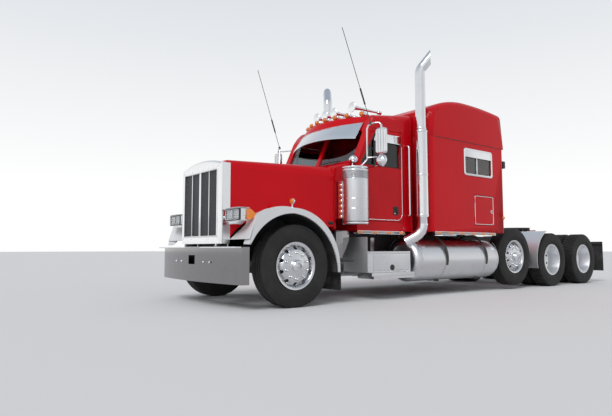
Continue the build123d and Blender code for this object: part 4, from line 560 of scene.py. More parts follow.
def rounded(corners, radius, steps=5):
    """The corner points of a closed outline with each corner turned into an arc."""
    points = []
    count = len(corners)
    for index, corner in enumerate(corners):
        here = Vector(corner)
        before = (Vector(corners[index - 1]) - here).normalized()
        after = (Vector(corners[(index + 1) % count]) - here).normalized()
        half_turn = before.angle(after) / 2
        reach = radius / math.tan(half_turn)
        middle = here + (before + after).normalized() * (radius / math.sin(half_turn))
        start = here + before * reach - middle
        end = here + after * reach - middle
        for step in range(steps + 1):
            share = step / steps
            arm = start.lerp(end, share).normalized() * radius
            points.append(tuple(middle + arm))
    return points


def rectangle(low, high, radius=0.0):
    """A rectangle's outline between two opposite corners."""
    corners = [(low[0], low[1]), (high[0], low[1]), (high[0], high[1]), (low[0], high[1])]
    return rounded(corners, radius) if radius else corners


def curve_of(lines, dimensions, closed, bevel):
    """A curve object through lines of points."""
    deselect()
    bpy.ops.curve.primitive_bezier_curve_add()
    curve = bpy.context.object.data
    curve.dimensions = dimensions
    curve.splines.clear()
    for line in lines:
        spline = curve.splines.new("POLY")
        spline.points.add(len(line) - 1)
        for point, place in zip(spline.points, line):
            point.co = (*place, 1.0)
        spline.use_cyclic_u = closed
    curve.bevel_depth = bevel
    return curve


def plate(outlines, facing, place, depth, bevel=0.0015):
    """A flat shape cut from outlines, the inner ones as holes, centred on its place along its facing."""
    curve = curve_of([[(*point, 0.0) for point in outline] for outline in outlines], "2D", True, bevel)
    curve.fill_mode = "BOTH"
    curve.bevel_resolution = 1
    curve.offset = -bevel
    curve.extrude = max(depth / 2 - bevel, 0.0001)
    bpy.ops.object.convert(target="MESH")
    piece = bpy.context.object
    first, second, out = FACINGS[facing]
    turn = Matrix((first, second, first.cross(second))).transposed().to_4x4()
    piece.matrix_world = Matrix.Translation(out * place) @ turn
    return tidy(settle(piece), 0.00001, 40.0)


def slab(low, high, radius, facing, place, depth, bevel=0.0015):
    """A rectangular plate between two opposite corners."""
    return plate([rectangle(low, high, radius)], facing, place, depth, bevel)


def tube(points, radius, closed=False, sides=3):
    """A round rod along straight or curved runs of points."""
    curve = curve_of([points], "3D", closed, radius)
    curve.bevel_resolution = sides
    curve.use_fill_caps = not closed
    bpy.ops.object.convert(target="MESH")
    return tidy(settle(bpy.context.object), 0.00001, 50.0)


def copy_of(piece, shift=(0, 0, 0)):
    """A moved copy with its own mesh."""
    pick(piece)
    bpy.ops.object.duplicate(linked=False)
    copy = bpy.context.object
    copy.location = shift
    return settle(copy)


def other_side(piece):
    """A mirrored copy for the right-hand side of the truck."""
    copy = copy_of(piece)
    copy.scale = (1, -1, 1)
    settle(copy)
    with editing(copy):
        bpy.ops.mesh.normals_make_consistent(inside=False)
    return copy


def pair(pieces, name, material, body):
    """Hands over left-hand pieces and their mirror image, each riding on its own side's body."""
    piece = join(pieces)
    for side_name, half in (("right", other_side(piece)), ("left", piece)):
        hand_over(half, f"{name}_{side_name}", material, f"{side_name}_{body}")


def both(pieces, name, material, body="chassis"):
    """Joins left-hand pieces with their mirror image, for a body that has both."""
    piece = join(pieces)
    hand_over([piece, other_side(piece)], name, material, body)


def stud(place, radius, height, axis="Y", way=1, steps=10):
    """A low domed bolt head standing on a surface."""
    return lathe([(0, 0), (0, radius), (way * height * 0.45, radius * 0.93), (way * height * 0.85, radius * 0.55),
                  (way * height, 0)], place, axis, steps, 40.0)


def turned(piece, angle, axis, centre):
    """The piece turned about an axis through a point."""
    pick(piece)
    bpy.ops.transform.rotate(value=angle, orient_axis=axis, center_override=centre)
    return settle(piece)


def arc(centre, radius, start, end, steps=8):
    """Points of an arc in two coordinates, angles in degrees."""
    return [(centre[0] + radius * math.cos(math.radians(start + (end - start) * step / steps)),
             centre[1] + radius * math.sin(math.radians(start + (end - start) * step / steps)))
            for step in range(steps + 1)]


def ruled(rows, thick, angle=35.0):
    """A sheet of even thickness through rows of points, each row with as many points as the next."""
    strips = []
    for first, second in zip(rows, rows[1:]):
        lines = []
        for row in (first, second):
            lines.append(chain(row))
            bpy.ops.object.mode_set(mode="OBJECT")
        strip = join(lines)
        with editing(strip):
            bpy.ops.mesh.bridge_edge_loops()
        strips.append(strip)
    piece = tidy(join(strips), 0.00005, angle)
    modify(piece, "SOLIDIFY", thickness=thick, offset=0.0)
    return tidy(piece, 0.00005, angle)


def bead(outline, y, radius, closed=False):
    """A round trim bead along an outline of X and Z points on a side of the truck."""
    return tube([(x, y, z) for x, z in outline], radius, closed)


def skin(node, material, angle=30.0, without=None):
    """A smoothed copy of a node that stands for it, without the vertices that the given test names."""
    source = frame["nodes"][node]
    pick(source)
    bpy.ops.object.duplicate(linked=False)
    piece = bpy.context.object
    bpy.ops.object.parent_clear(type="CLEAR_KEEP_TRANSFORM")
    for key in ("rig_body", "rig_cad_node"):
        if key in piece:
            del piece[key]
    with editing(piece):
        bpy.ops.mesh.remove_doubles(threshold=0.00003)
        bpy.ops.mesh.select_all(action="DESELECT")
    if without:
        for vertex in piece.data.vertices:
            vertex.select = without(vertex.co)
        bpy.ops.object.mode_set(mode="EDIT")
        bpy.ops.mesh.delete(type="VERT")
        bpy.ops.object.mode_set(mode="OBJECT")
    bpy.ops.object.shade_smooth_by_angle(angle=math.radians(angle))
    modify(piece, "WEIGHTED_NORMAL", keep_sharp=True, weight=60)
    hand_over(piece, f"{node}_skin", material, source["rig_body"], replaces=[node])


# For each finish, the nodes whose shape is right as it is
SKINS = {
    "red_paint": "hood cab door_left door_right sleeper sleeper_roof locker_door_left locker_door_right",
    "white_paint": "fenders",
    # The bumper's chrome is darkened as a whole: a painted reflection of dark ground
    "dark_chrome": "bumper",
    "bright_steel": "radiator_shell",
    "chrome": "headlamps air_horns mirror_left mirror_right side_trim",
    "sheet_alloy": "step_boxes",
    "soft_alloy": "quarter_fenders",
    "tank_alloy": "fuel_tanks air_cleaners",
    "black_paint": "frame_rails crossmembers fifth_wheel_base fifth_wheel_plate suspension",
    "dark_mesh": "grille",
    "cast_iron": "steer_axle pusher_axle drive_axles knuckle_left knuckle_right engine",
    "window_glass": "glass",
    "tinted_glass": "door_glass_left door_glass_right",
    "seat_cloth": "seats",
    "dash_plastic": "dashboard",
}


def build_skins():
    """Every node whose shape is right gets its finish, smoothed where it is curved."""
    for material, nodes in SKINS.items():
        for node in nodes.split():
            skin(node, material)
    # The stacks go without the forward pipe and the lowest bend, the flaps without the front ones
    pipe_start, bend_side, bend_top = 1.48, 1.075, 1.06
    skin("exhaust_stacks", "chrome", 30.0,
         lambda place: place.x > pipe_start or (abs(place.y) < bend_side and place.z < bend_top))
    skin("mud_flaps", "flap_rubber", 30.0, lambda place: place.x > 0.0)
    for wheel in ("steer_wheel", "pusher_wheel", "front_drive_wheels", "rear_drive_wheels"):
        for side_name in ("left", "right"):
            skin(f"{wheel}_{side_name}", "dished_alloy" if "drive" in wheel else "spun_alloy", 42.0)


def tyre_profile(groove_places, groove_half, depth, tread_r):
    """The closed section of one tyre, as (along, radius) points from its middle."""
    bead_r, flange_r = 0.2868, 0.306
    sidewall = [(0.1045, bead_r), (0.1045, flange_r), (0.113, 0.317), (0.127, 0.342), (0.136, 0.366),
                (0.1392, 0.368), (0.1396, 0.376), (0.137, 0.3785), (0.1392, 0.405), (0.138, 0.435),
                (0.133, 0.464), (0.129, 0.48), (0.1272, 0.487), (0.1288, 0.49), (0.1246, 0.501),
                (0.119, 0.515), (0.112, tread_r - 0.002)]
    tread = [(0.106, tread_r)]
    for place in groove_places:
        tread += [(place + groove_half, tread_r), (place + groove_half * 0.7, tread_r - depth),
                  (place - groove_half * 0.7, tread_r - depth), (place - groove_half, tread_r)]
    half = sidewall + tread
    other = [(-along, radius) for along, radius in reversed(half)]
    return half + other + [half[0]]


def build_tyre(x, y, z, lugs):
    """One tyre: ribbed for the single wheels, or a plain tread with blocks for the twin wheels."""
    sizes = bpy.context.scene.tractor_fittings
    depth = sizes.groove_depth
    centre = Vector((x, y, z))
    if not lugs:
        profile = tyre_profile((0.076, 0.029), 0.0062, depth, TYRE_R)
        return lathe(profile, centre, "Y", sizes.tread_steps, 28.0)
    carcass = lathe(tyre_profile((), 0.0, depth, TYRE_R - depth), centre, "Y", sizes.tread_steps, 28.0)
    pitch = math.tau * TYRE_R / sizes.drive_lugs
    half = pitch * 0.37
    pieces = [carcass]
    # Each row of blocks: inner and outer edge along the axle, and its stagger round the tyre
    for inner, outer, stagger in ((0.0045, 0.048, 0.0), (0.056, 0.1125, 0.5)):
        for side in (1, -1):
            lug = block((x - half, y + side * inner, z + TYRE_R - depth - 0.004),
                        (x + half, y + side * outer, z + TYRE_R - 0.0012), 0.0022, 1)
            shift = pitch * (stagger + (0.25 if side > 0 else 0.0))
            turned(lug, shift / TYRE_R, "Y", centre)
            pieces.append(ring_copies(lug, centre, (0, 1, 0), sizes.drive_lugs))
    return join(pieces)


def build_tyres():
    """All twelve tyres, each with its own tread."""
    single = build_tyre(STEER.x, STEER.y, TYRE_R, False)
    twin_gap = 0.343
    twin_out = REAR_DRIVE.y + twin_gap / 2
    twin = build_tyre(DRIVE.x, twin_out, TYRE_R, True)
    twins = join([twin, copy_of(twin, (0, -twin_gap, 0))])
    # For each axle: its centre, the tyre to copy and where that stands, and the ending of the nodes' names
    for node, axle, piece, home, plural in (("steer", STEER, single, STEER, ""), ("pusher", PUSHER, single, STEER, ""),
                                            ("front_drive", DRIVE, twins, DRIVE, "s"),
                                            ("rear_drive", REAR_DRIVE, twins, DRIVE, "s")):
        for side_name, side in SIDES:
            copy = copy_of(piece, (axle.x - home.x, side * axle.y - home.y, axle.z - home.z))
            hand_over(copy, f"{node}_tread_{side_name}", "tyre_rubber", f"{side_name}_{node}_wheel{plural}",
                      replaces=[f"{node}_tyre{plural}_{side_name}"])
    pick(single, twins)
    bpy.ops.object.delete()


def star(place, radius, depth, way, points=8):
    """A pointed star cone for the middle of a hub cover."""
    deselect()
    bpy.ops.mesh.primitive_cone_add(vertices=points * 2, radius1=radius, radius2=0.0, depth=depth, location=place,
                                    rotation=(-way * math.pi / 2, 0, 0))
    piece = settle(bpy.context.object)
    rim = [vertex for vertex in piece.data.vertices
           if math.hypot(vertex.co.x - place.x, vertex.co.z - place.z) > radius * 0.9]
    rim.sort(key=lambda vertex: math.atan2(vertex.co.z - place.z, vertex.co.x - place.x))
    chosen = [vertex.index for vertex in rim[::2]]
    with editing(piece):
        bpy.ops.mesh.select_all(action="DESELECT")
    for index in chosen:
        piece.data.vertices[index].select = True
    bpy.ops.object.mode_set(mode="EDIT")
    bpy.ops.transform.resize(value=(0.42, 1.0, 0.42), center_override=place)
    bpy.ops.object.mode_set(mode="OBJECT")
    return piece


# The dome of a hub cover, as shares of its height and radius
DOME = ((0.45, 0.97), (0.52, 0.86), (0.62, 0.8), (0.74, 0.46), (0.9, 0.2), (0.99, 0.06), (1.0, 0.0))


def build_hubs():
    """Chrome nut covers and pointed hub covers on all eight wheels."""
    sizes = bpy.context.scene.tractor_fittings
    # For each wheel: its axle's centre, how far out the nut face and the hub's foot lie, the cover's radius and height
    single_face, twin_face = 0.121, 0.013
    for node, axle, face, foot, radius, peak in (("steer", STEER, single_face, 0.122, 0.079, 0.086),
                                                 ("pusher", PUSHER, single_face, 0.122, 0.079, 0.086),
                                                 ("front_drive", DRIVE, twin_face, 0.012, 0.1, 0.142),
                                                 ("rear_drive", REAR_DRIVE, twin_face, 0.012, 0.1, 0.142)):
        wheels = "wheel" if face == single_face else "wheels"
        for side_name, side in SIDES:
            centre = Vector((axle.x, side * axle.y, axle.z))
            nut_place = centre + Vector((0, side * face, sizes.nut_circle))
            nut = lathe([(0, 0), (0, 0.02), (side * 0.004, 0.0195), (side * 0.007, 0.0165), (side * 0.024, 0.0155),
                         (side * 0.034, 0.0125), (side * 0.046, 0.003), (side * 0.047, 0)], nut_place, "Y", 10, 38.0)
            nuts = ring_copies(nut, centre, (0, 1, 0), 10)
            dome = [(side * peak * along, radius * out) for along, out in DOME]
            cover = lathe([(0, 0), (0, radius + 0.01), (side * 0.008, radius + 0.009), (side * 0.012, radius),
                           *dome], centre + Y * side * foot, "Y", 40, 30.0)
            tip = centre + Y * side * (foot + peak * 0.8)
            point = star(tip, radius * 0.86, 0.06, side)
            # A flat dark ring behind the disc: painted shade that shows through the hand holes, not a shaped brake drum
            depth = side * (face - 0.046)
            painted_shade_ring = collar(centre + Y * depth, "Y", 0, -side * 0.004, 0.202, 0.252, 40)
            hand_over(painted_shade_ring, f"{node}_drum_face_{side_name}", "black_plastic", f"{side_name}_{node}_{wheels}")
            hand_over([nuts, cover, point], f"{node}_hub_cover_{side_name}", "chrome", f"{side_name}_{node}_{wheels}")


def build_grille():
    """The mesh and bars of the grille, the bolts of the shell, and the bolts and lip of the bumper."""
    face = SHELL_HIGH.x
    mesh = slab((-0.487, 0.917), (0.487, 1.777), 0.01, "front", face - 0.022, 0.006, 0.0008)
    hand_over(mesh, "grille_mesh", "wire_mesh", "hood_body")
    bars = [block((face - 0.02, -0.024, 0.916), (face + 0.004, 0.024, 1.778), 0.006, 3),
            *(block((face - 0.02, y - 0.009, 0.916), (face - 0.002, y + 0.009, 1.778), 0.004) for y in (-0.255, 0.255))]
    surround = plate([rectangle((-0.506, 0.896), (0.506, 1.798), 0.018),
                      rectangle((-0.486, 0.916), (0.486, 1.778), 0.008)], "front", face + 0.001, 0.01, 0.003)
    hand_over([*bars, surround], "grille_bars", "bright_steel", "hood_body")
    # Rows of bolts over and under the opening
    studs = [stud((face - 0.001, y, z), 0.009, 0.007, "X") for z in (1.812, 0.88)
             for y in (0.515, -0.515, 0.255, -0.255)]
    hand_over(studs, "shell_bolts", "chrome", "hood_body")
    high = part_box("bumper")[1]
    studs = [stud((high.x - 0.006, side * y, 0.574), 0.016, 0.012, "X") for y in (0.335, 0.505) for side in (1, -1)]
    hand_over(studs, "bumper_bolts", "chrome")
    # A round lip along the bumper's top edge, in steel brighter than the bumper: a painted highlight on its rolled edge
    lip = [(high.x - 0.085, -1.155, 0.762), (high.x - 0.01, -1.15, 0.762), (high.x - 0.01, 1.15, 0.762),
           (high.x - 0.085, 1.155, 0.762)]
    hand_over(tube(lip, 0.009), "bumper_lip", "bright_steel")


def build_headlamps():
    """The lamps, bezels and turn signals on the two headlamp pods, and the marker lamps on the fenders."""
    low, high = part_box("headlamps")
    pod_width = 0.37
    outer, inner = high.y, high.y - pod_width
    face = high.x
    # The two lamps of a pod: inner and outer edge
    lamps = ((inner + 0.022, inner + 0.172), (inner + 0.192, inner + 0.34))
    openings = [rectangle((a, low.z + 0.02), (b, high.z - 0.022), 0.012) for a, b in lamps]
    bezel = plate([rectangle((inner + 0.006, low.z + 0.006), (outer - 0.006, high.z - 0.006), 0.014), *openings],
                  "front", face + 0.007, 0.016, 0.002)
    both(bezel, "headlamp_bezels", "black_plastic", "hood_body")
    lenses = [block((face - 0.004, a - 0.003, low.z + 0.017), (face + 0.01, b + 0.003, high.z - 0.019), 0.006, 3)
              for a, b in lamps]
    both(lenses, "headlamp_lenses", "lamp_glass", "hood_body")
    rims = [tube([(face + 0.0155, y, z) for y, z in edge], 0.0035, True, 2) for edge in openings]
    brow = plate([[(face - 0.12, inner - 0.004), (face - 0.12, outer + 0.004), (face + 0.02, outer + 0.004),
                   (face + 0.034, outer - 0.06), (face + 0.034, inner + 0.05), (face + 0.02, inner - 0.004)]],
                 "top", high.z + 0.003, 0.006, 0.0015)
    bracket = plate([[(inner + 0.02, low.z), (outer - 0.1, low.z), (outer - 0.16, low.z - 0.034),
                      (inner + 0.03, low.z - 0.034)]], "front", face - 0.07, 0.09, 0.003)
    both([*rims, brow, bracket], "headlamp_trim", "chrome", "hood_body")
    # The turn signal is a wedge beside the pod
    signal = plate([rounded([(4.5, high.z - 0.008), (4.5, low.z + 0.002), (4.452, low.z + 0.022),
                             (4.362, low.z + 0.068), (4.455, high.z - 0.02)], 0.01)],
                   "side", outer + 0.014, 0.052, 0.009)
    both(signal, "turn_signals", "amber_lens", "hood_body")
    stalk_x, stalk_y = 3.855, 1.1
    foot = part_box("fenders")[1].z
    stem = tube([(stalk_x, stalk_y, foot - 0.006), (stalk_x, stalk_y, foot + 0.05)], 0.008)
    base = lathe([(0, 0), (0, 0.022), (0.006, 0.02), (0.01, 0.009)], (stalk_x, stalk_y, foot - 0.002), "Z", 16)
    cup = lathe([(0.004, 0), (0.004, 0.04), (-0.004, 0.041), (-0.022, 0.034), (-0.04, 0.018), (-0.045, 0)],
                (stalk_x, stalk_y, foot + 0.083), "X", 28)
    both([stem, base, cup], "fender_marker_cups", "chrome", "hood_body")
    lens = lathe([(0.002, 0), (0.002, 0.037), (0.012, 0.035), (0.024, 0.024), (0.029, 0)],
                 (stalk_x, stalk_y, foot + 0.083), "X", 28)
    both(lens, "fender_markers", "amber_lens", "hood_body")


def arc_through(first, second, third, inset=0.0, steps=10):
    """Points of the arc through three points, drawn in by the inset towards its centre."""
    (ax, ay), (bx, by), (cx, cy) = first, second, third
    spread_out = 2 * (ax * (by - cy) + bx * (cy - ay) + cx * (ay - by))
    a, b, c = ax * ax + ay * ay, bx * bx + by * by, cx * cx + cy * cy
    centre = Vector(((a * (by - cy) + b * (cy - ay) + c * (ay - by)) / spread_out,
                     (a * (cx - bx) + b * (ax - cx) + c * (bx - ax)) / spread_out))
    radius = (Vector(first) - centre).length - inset
    start = math.degrees(math.atan2(ay - centre.y, ax - centre.x))
    end = math.degrees(math.atan2(cy - centre.y, cx - centre.x))
    # The shorter way round
    if start - end > 180.0:
        end += 360.0
    if end - start > 180.0:
        start += 360.0
    return arc(centre, radius, start, end, steps)


def build_aprons():
    """The white noses and black liners of the fenders, and the flaps behind the steered wheels."""
    opening = arc_through((3.161, 0.43), (3.485, 1.036), (3.885, 1.192), 0.007) \
        + arc_through((3.885, 1.192), (4.225, 1.112), (4.537, 0.79), 0.007)[1:]
    # The liner stops where the fender's nose begins
    opening = [(x, z) for x, z in opening if x < 4.242]
    liner = ruled([[(x, 0.604, max(min(z - 0.02, 0.79), 0.7)) for x, z in opening[3:]],
                   [(x, 0.604, z) for x, z in opening[3:]]], 0.004, 30.0)
    roof = ruled([[(x, y, z) for x, z in opening] for y in (0.6, 0.9, 1.192)], 0.004, 30.0)
    both([liner, roof], "fender_liners", "black_plastic", "hood_body")
    # The nose's inner and outer edges, from the top down
    inner = [(x, 0.594, z) for x, z in ((4.16, 1.1905), (4.19, 1.162), (4.218, 1.126), (4.256, 1.055),
                                        (4.318, 1.0), (4.4, 0.93), (4.478, 0.862))]
    outer = [(x, 1.206, z) for x, z in ((4.298, 1.234), (4.345, 1.219), (4.387, 1.201), (4.452, 1.16),
                                        (4.479, 1.076), (4.515, 0.968), (4.552, 0.862))]
    middle = [tuple(Vector(a).lerp(Vector(b), 0.5)) for a, b in zip(inner, outer)]
    both(ruled([inner, middle, outer], 0.005), "fender_noses", "white_paint", "hood_body")
    flap = slab((0.62, 0.18), (1.12, 0.6), 0.02, "front", 3.05, 0.01, 0.002)
    both(flap, "front_flaps", "flap_rubber")
    arm = block((3.036, 0.38, 0.585), (3.064, 1.12, 0.62), 0.003)
    both(arm, "front_flap_arms", "black_paint")


def hood_side(x):
    """How far out the hood's side is at a place along it."""
    low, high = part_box("hood")
    front_half, rear_half = 0.59, 0.88
    return rear_half + (front_half - rear_half) * (x - low.x) / (high.x - low.x)


def build_hood_trim():
    """Rivets, latches and the bright centre bead of the hood."""
    low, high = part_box("hood")
    # Two upright rows of rivets near the hood's rear edge
    rivets = [stud((x, hood_side(x) - 0.0005, 1.245 + 0.07 * count), 0.0065, 0.0035, "Y", 1, 8)
              for x in (3.03, 3.092) for count in range(8)]
    both(rivets, "hood_rivets", "red_paint", "hood_body")
    y = hood_side(3.02)
    latches = [block((2.985, y - 0.004, 1.09), (3.06, y + 0.014, 1.13), 0.005),
               tube([(3.05, y + 0.008, 1.112), (3.0, y + 0.02, 1.108), (2.975, y + 0.02, 1.1)], 0.009)]
    both(latches, "hood_latches", "black_plastic", "hood_body")
    ridge = tube([(high.x - 0.02, 0.0, SHELL_HIGH.z - 0.02), (low.x + 0.03, 0.0, high.z + 0.001)], 0.007)
    hand_over(ridge, "hood_ridge", "chrome", "hood_body")


def build_cowl():
    """The chrome balls and red flanges of the cowl, the lamp strips beside the air cleaners, and the wipers."""
    shape = [(-0.066, 0), (-0.06, 0.024), (-0.046, 0.049), (-0.023, 0.065), (0, 0.07), (0.023, 0.065),
             (0.046, 0.051), (0.062, 0.028), (0.069, 0)]
    globe = lathe(shape, (2.632, 0.935, 2.048), "Z", 32, 60.0)
    stem = lathe([(0, 0), (0, 0.03), (0.006, 0.028), (0.012, 0.012), (0.05, 0.012), (0.055, 0)],
                 (2.632, 0.915, 1.955), "Z", 20)
    both([globe, stem], "cowl_lamps", "chrome")
    flange = block((2.918, 0.78, 1.02), (2.956, 0.868, 1.9), 0.004)
    both(flange, "cowl_flanges", "red_paint")
    strip = slab((0.876, 1.165), (1.03, 1.7), 0.012, "front", 2.93, 0.008, 0.001)
    cups, lenses = [strip], []
    for count in range(7):
        place = (2.934, 0.998, 1.192 + 0.0745 * count)
        cups.append(lathe([(0, 0), (0, 0.024), (0.008, 0.024), (0.011, 0.02), (0.011, 0)], place, "X", 20))
        lenses.append(lathe([(0.008, 0), (0.008, 0.019), (0.018, 0.0165), (0.026, 0.009), (0.028, 0)], place,
                            "X", 20))
    both(cups, "lamp_strips", "chrome")
    both(lenses, "strip_lamps", "amber_lens")
    blades = []
    # Each wiper: the two ends of its blade and its pivot, across the windshield
    for root, tip, pivot in ((0.1, 0.62, 0.46), (-0.62, -0.1, -0.34)):
        blades.append(tube([(2.606, root, 2.066), (2.598, (root + tip) / 2, 2.082), (2.606, tip, 2.066)], 0.008))
        blades.append(tube([(2.64, pivot, 2.0), (2.622, pivot, 2.045), (2.602, (root + tip) / 2, 2.086)], 0.006))
        blades.append(lathe([(0, 0), (0, 0.02), (0.014, 0.018), (0.02, 0)], (2.64, pivot, 1.99), "Z", 16))
    hand_over(blades, "wipers", "black_plastic")


def build_air_cleaners():
    """Bands, knobs and pierced screens on the air cleaners."""
    low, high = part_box("air_cleaners")
    radius = (high.x - low.x) / 2
    centre = Vector(((low.x + high.x) / 2, high.y - radius, low.z))
    tall = high.z - low.z
    bands = []
    # Each band: its height above the foot, half its width, how far it stands out
    for z, half, proud in ((0.012, 0.012, 0.005), (0.212, 0.003, 0.0025), (0.352, 0.003, 0.0025),
                           (0.628, 0.006, 0.004), (tall - 0.06, 0.006, 0.004), (tall - 0.016, 0.01, 0.005)):
        bands.append(lathe([(-half, radius - 0.004), (-half, radius + proud * 0.6), (0, radius + proud),
                            (half, radius + proud * 0.6), (half, radius - 0.004), (-half, radius - 0.004)],
                           centre + Z * z, "Z", 48))
    knob = lathe([(0, 0), (0, 0.02), (0.01, 0.018), (0.022, 0.01), (0.024, 0)],
                 centre + Z * (tall - 0.001), "Z", 20)
    both([*bands, knob], "air_cleaner_bands", "chrome")
    sleeve = collar(centre, "Z", 0.636, tall - 0.068, radius - 0.004, radius + 0.002)
    both(sleeve, "air_cleaner_screens", "perforated_band")


def build_door_trim():
    """Trim beads, handles, locks, window shades, seals and hinge covers of the doors."""
    y = DOOR_HIGH.y
    outline = [(1.645, 2.335), (1.645, 1.305), *arc((1.765, 1.3), 0.12, 180, 270), (2.52, 1.18)]
    pair(bead(outline, y + 0.001, 0.0065), "door_bead", "chrome", "door")
    shade = plate([rounded([(1.66, 2.368), (2.268, 2.368), (2.205, 2.5), (1.66, 2.5)], 0.02)], "side",
                  y + 0.004, 0.01, 0.002)
    pair(shade, "window_shade", "chrome", "door")
    cup = slab((1.735, 1.262), (1.85, 1.392), 0.018, "side", y + 0.003, 0.008, 0.002)
    pull = block((1.752, y + 0.004, 1.3), (1.8, y + 0.02, 1.372), 0.006)
    pair([cup, pull], "door_handle", "black_plastic", "door")
    lock = lathe([(0, 0), (0, 0.011), (0.005, 0.01), (0.006, 0)], (1.822, y + 0.006, 1.285), "Y", 16)
    pair(lock, "door_lock", "chrome", "door")
    seal = tube([(x, y + 0.0005, z) for x, z in rounded([(2.526, 1.997), (2.232, 2.489), (1.671, 2.489),
                                                          (1.671, 1.997)], 0.03)], 0.007, True)
    bar = block((2.236, y - 0.02, 2.004), (2.254, y + 0.001, 2.47), 0.003)
    pair([seal, bar], "window_seal", "black_plastic", "door")
    hinges = [tube([(DOOR_HIGH.x, y, z - 0.045), (DOOR_HIGH.x, y, z + 0.045)], 0.013) for z in (1.3, 1.72)]
    pair(hinges, "door_hinge_covers", "red_paint", "door")


def build_mirror_trim():
    """Ribs on the mirror heads, the second bracket tube, and the round spot mirrors."""
    for side_name, side in SIDES:
        parts = [tube([(2.459, side * 1.31 + shift, 2.12), (2.461, side * 1.31 + shift, 2.29),
                       (2.459, side * 1.31 + shift, 2.46)], 0.011) for shift in (-0.052, 0.0, 0.052)]
        loop = ((2.56, 0.975, 1.925), (2.535, 1.09, 2.01), (2.53, 1.12, 2.04), (2.53, 1.12, 2.48),
                (2.52, 1.135, 2.53), (2.48, 1.2, 2.565), (2.44, 1.28, 2.56), (2.428, 1.31, 2.52),
                (2.426, 1.31, 2.47))
        stay = ((2.53, 1.12, 2.06), (2.44, 1.24, 2.066), (2.43, 1.3, 2.075))
        for points, radius in ((loop, 0.013), (stay, 0.011)):
            parts.append(tube([(x, side * y, z) for x, y, z in points], radius))
        parts.append(lathe([(-0.03, 0), (-0.026, 0.054), (-0.01, 0.092), (0.004, 0.098), (0.01, 0.095),
                            (0.034, 0.08), (0.056, 0.05), (0.066, 0)], (2.43, side * 1.3, 2.0), "X", 32))
        hand_over(parts, f"mirror_ribs_{side_name}", "chrome", f"{side_name}_door")


def build_sleeper_trim():
    """Window frames, storage door beads and latches, seam, work lamps and side markers of the sleeper."""
    y = SLEEPER_HALF
    frame_outline = rectangle((-0.452, 1.985), (0.372, 2.452), 0.055)
    opening = rectangle((-0.415, 2.02), (0.335, 2.425), 0.036)
    surround = plate([frame_outline, opening], "side", y + 0.003, 0.014, 0.003)
    shade = slab((-0.425, 2.3), (0.345, 2.435), 0.02, "side", y + 0.004, 0.008, 0.001)
    divider = block((-0.012, y - 0.02, 2.01), (0.014, y + 0.004, 2.31), 0.003)
    both([surround, shade, divider], "bunk_window_frames", "chrome")
    for side_name, side in SIDES:
        outline = rectangle((-0.452, 1.163), (0.082, 1.647), 0.022)
        ring = tube([(x, side * (y + 0.001), z) for x, z in outline], 0.0065, True)
        latch = lathe([(0, 0), (0, 0.03), (side * 0.006, 0.029), (side * 0.008, 0.022), (side * 0.004, 0.02),
                       (side * 0.004, 0)], (-0.405, side * y, 1.391), "Y", 24)
        door = f"{side_name}_locker_door"
        hand_over([ring, latch], f"storage_door_trim_{side_name}", "chrome", door)
        paddle = block((-0.42, side * (y + 0.002), 1.383), (-0.392, side * (y + 0.011), 1.399), 0.003)
        hand_over(paddle, f"storage_door_latch_{side_name}", "black_plastic", door)
    seam_z = SLEEPER_HIGH.z - 0.001
    low = SLEEPER_LOW
    path = [(1.15, y + 0.001, seam_z), (low.x + 0.07, y + 0.001, seam_z),
            *[(px, py, seam_z) for px, py in arc((low.x + 0.07, y - 0.069), 0.07, 90, 180)],
            (low.x - 0.001, 0, seam_z)]
    both(tube(path, 0.0045), "sleeper_seam", "black_plastic")
    lamp = block((-0.925, 1.085, 2.215), (-0.85, 1.195, 2.345), 0.008)
    arm = block((-0.856, 1.12, 2.262), (-0.818, 1.16, 2.298), 0.004)
    both([lamp, arm], "work_lamps", "black_plastic")
    lens = block((-0.93, 1.095, 2.225), (-0.922, 1.185, 2.335), 0.003)
    both(lens, "work_lamp_lenses", "lamp_glass")
    rear = lathe([(0, 0), (0, 0.03), (0.008, 0.03), (0.01, 0.025), (0.022, 0.02), (0.026, 0)],
                 (-0.77, y - 0.002, 1.296), "Y", 24)
    both(rear, "sleeper_side_markers", "amber_lens")


def build_sill_lamps():
    """Oval amber lamps in chrome bezels on dark strips along the cab and sleeper sills."""
    lenses, bezels = [], []
    # Where each lamp is along the sill, and how far out the sill stands
    for y, z, places in ((0.975, 0.987, (2.545, 2.25, 1.95, 1.655)),
                         (1.215, 0.997, (1.045, 0.752, 0.456, 0.147, -0.14, -0.416))):
        for x in places:
            lenses.append(block((x - 0.052, y - 0.002, z - 0.017), (x + 0.052, y + 0.015, z + 0.017), 0.011, 3))
            bezels.append(slab((x - 0.06, z - 0.0215), (x + 0.06, z + 0.0215), 0.02, "side",
                                y + 0.002, 0.007, 0.0015))
    both(lenses, "sill_lamps", "amber_lens")
    both(bezels, "sill_bezels", "chrome")
    backs = [slab((1.612, 0.97), (2.584, 1.005), 0.004, "side", 0.976, 0.003, 0.001),
             slab((-0.518, 0.98), (1.138, 1.015), 0.004, "side", 1.216, 0.003, 0.001)]
    both(backs, "sill_strips", "dark_chrome")


# How far forward the roof lamps stand at the middle of the bowed roof front, and how much it bows back
BROW_X, BROW_BOW = 2.392, 0.393


def lamp_line(y):
    """How far forward the roof lamps stand at a place across the roof front."""
    return BROW_X - BROW_BOW * y * y


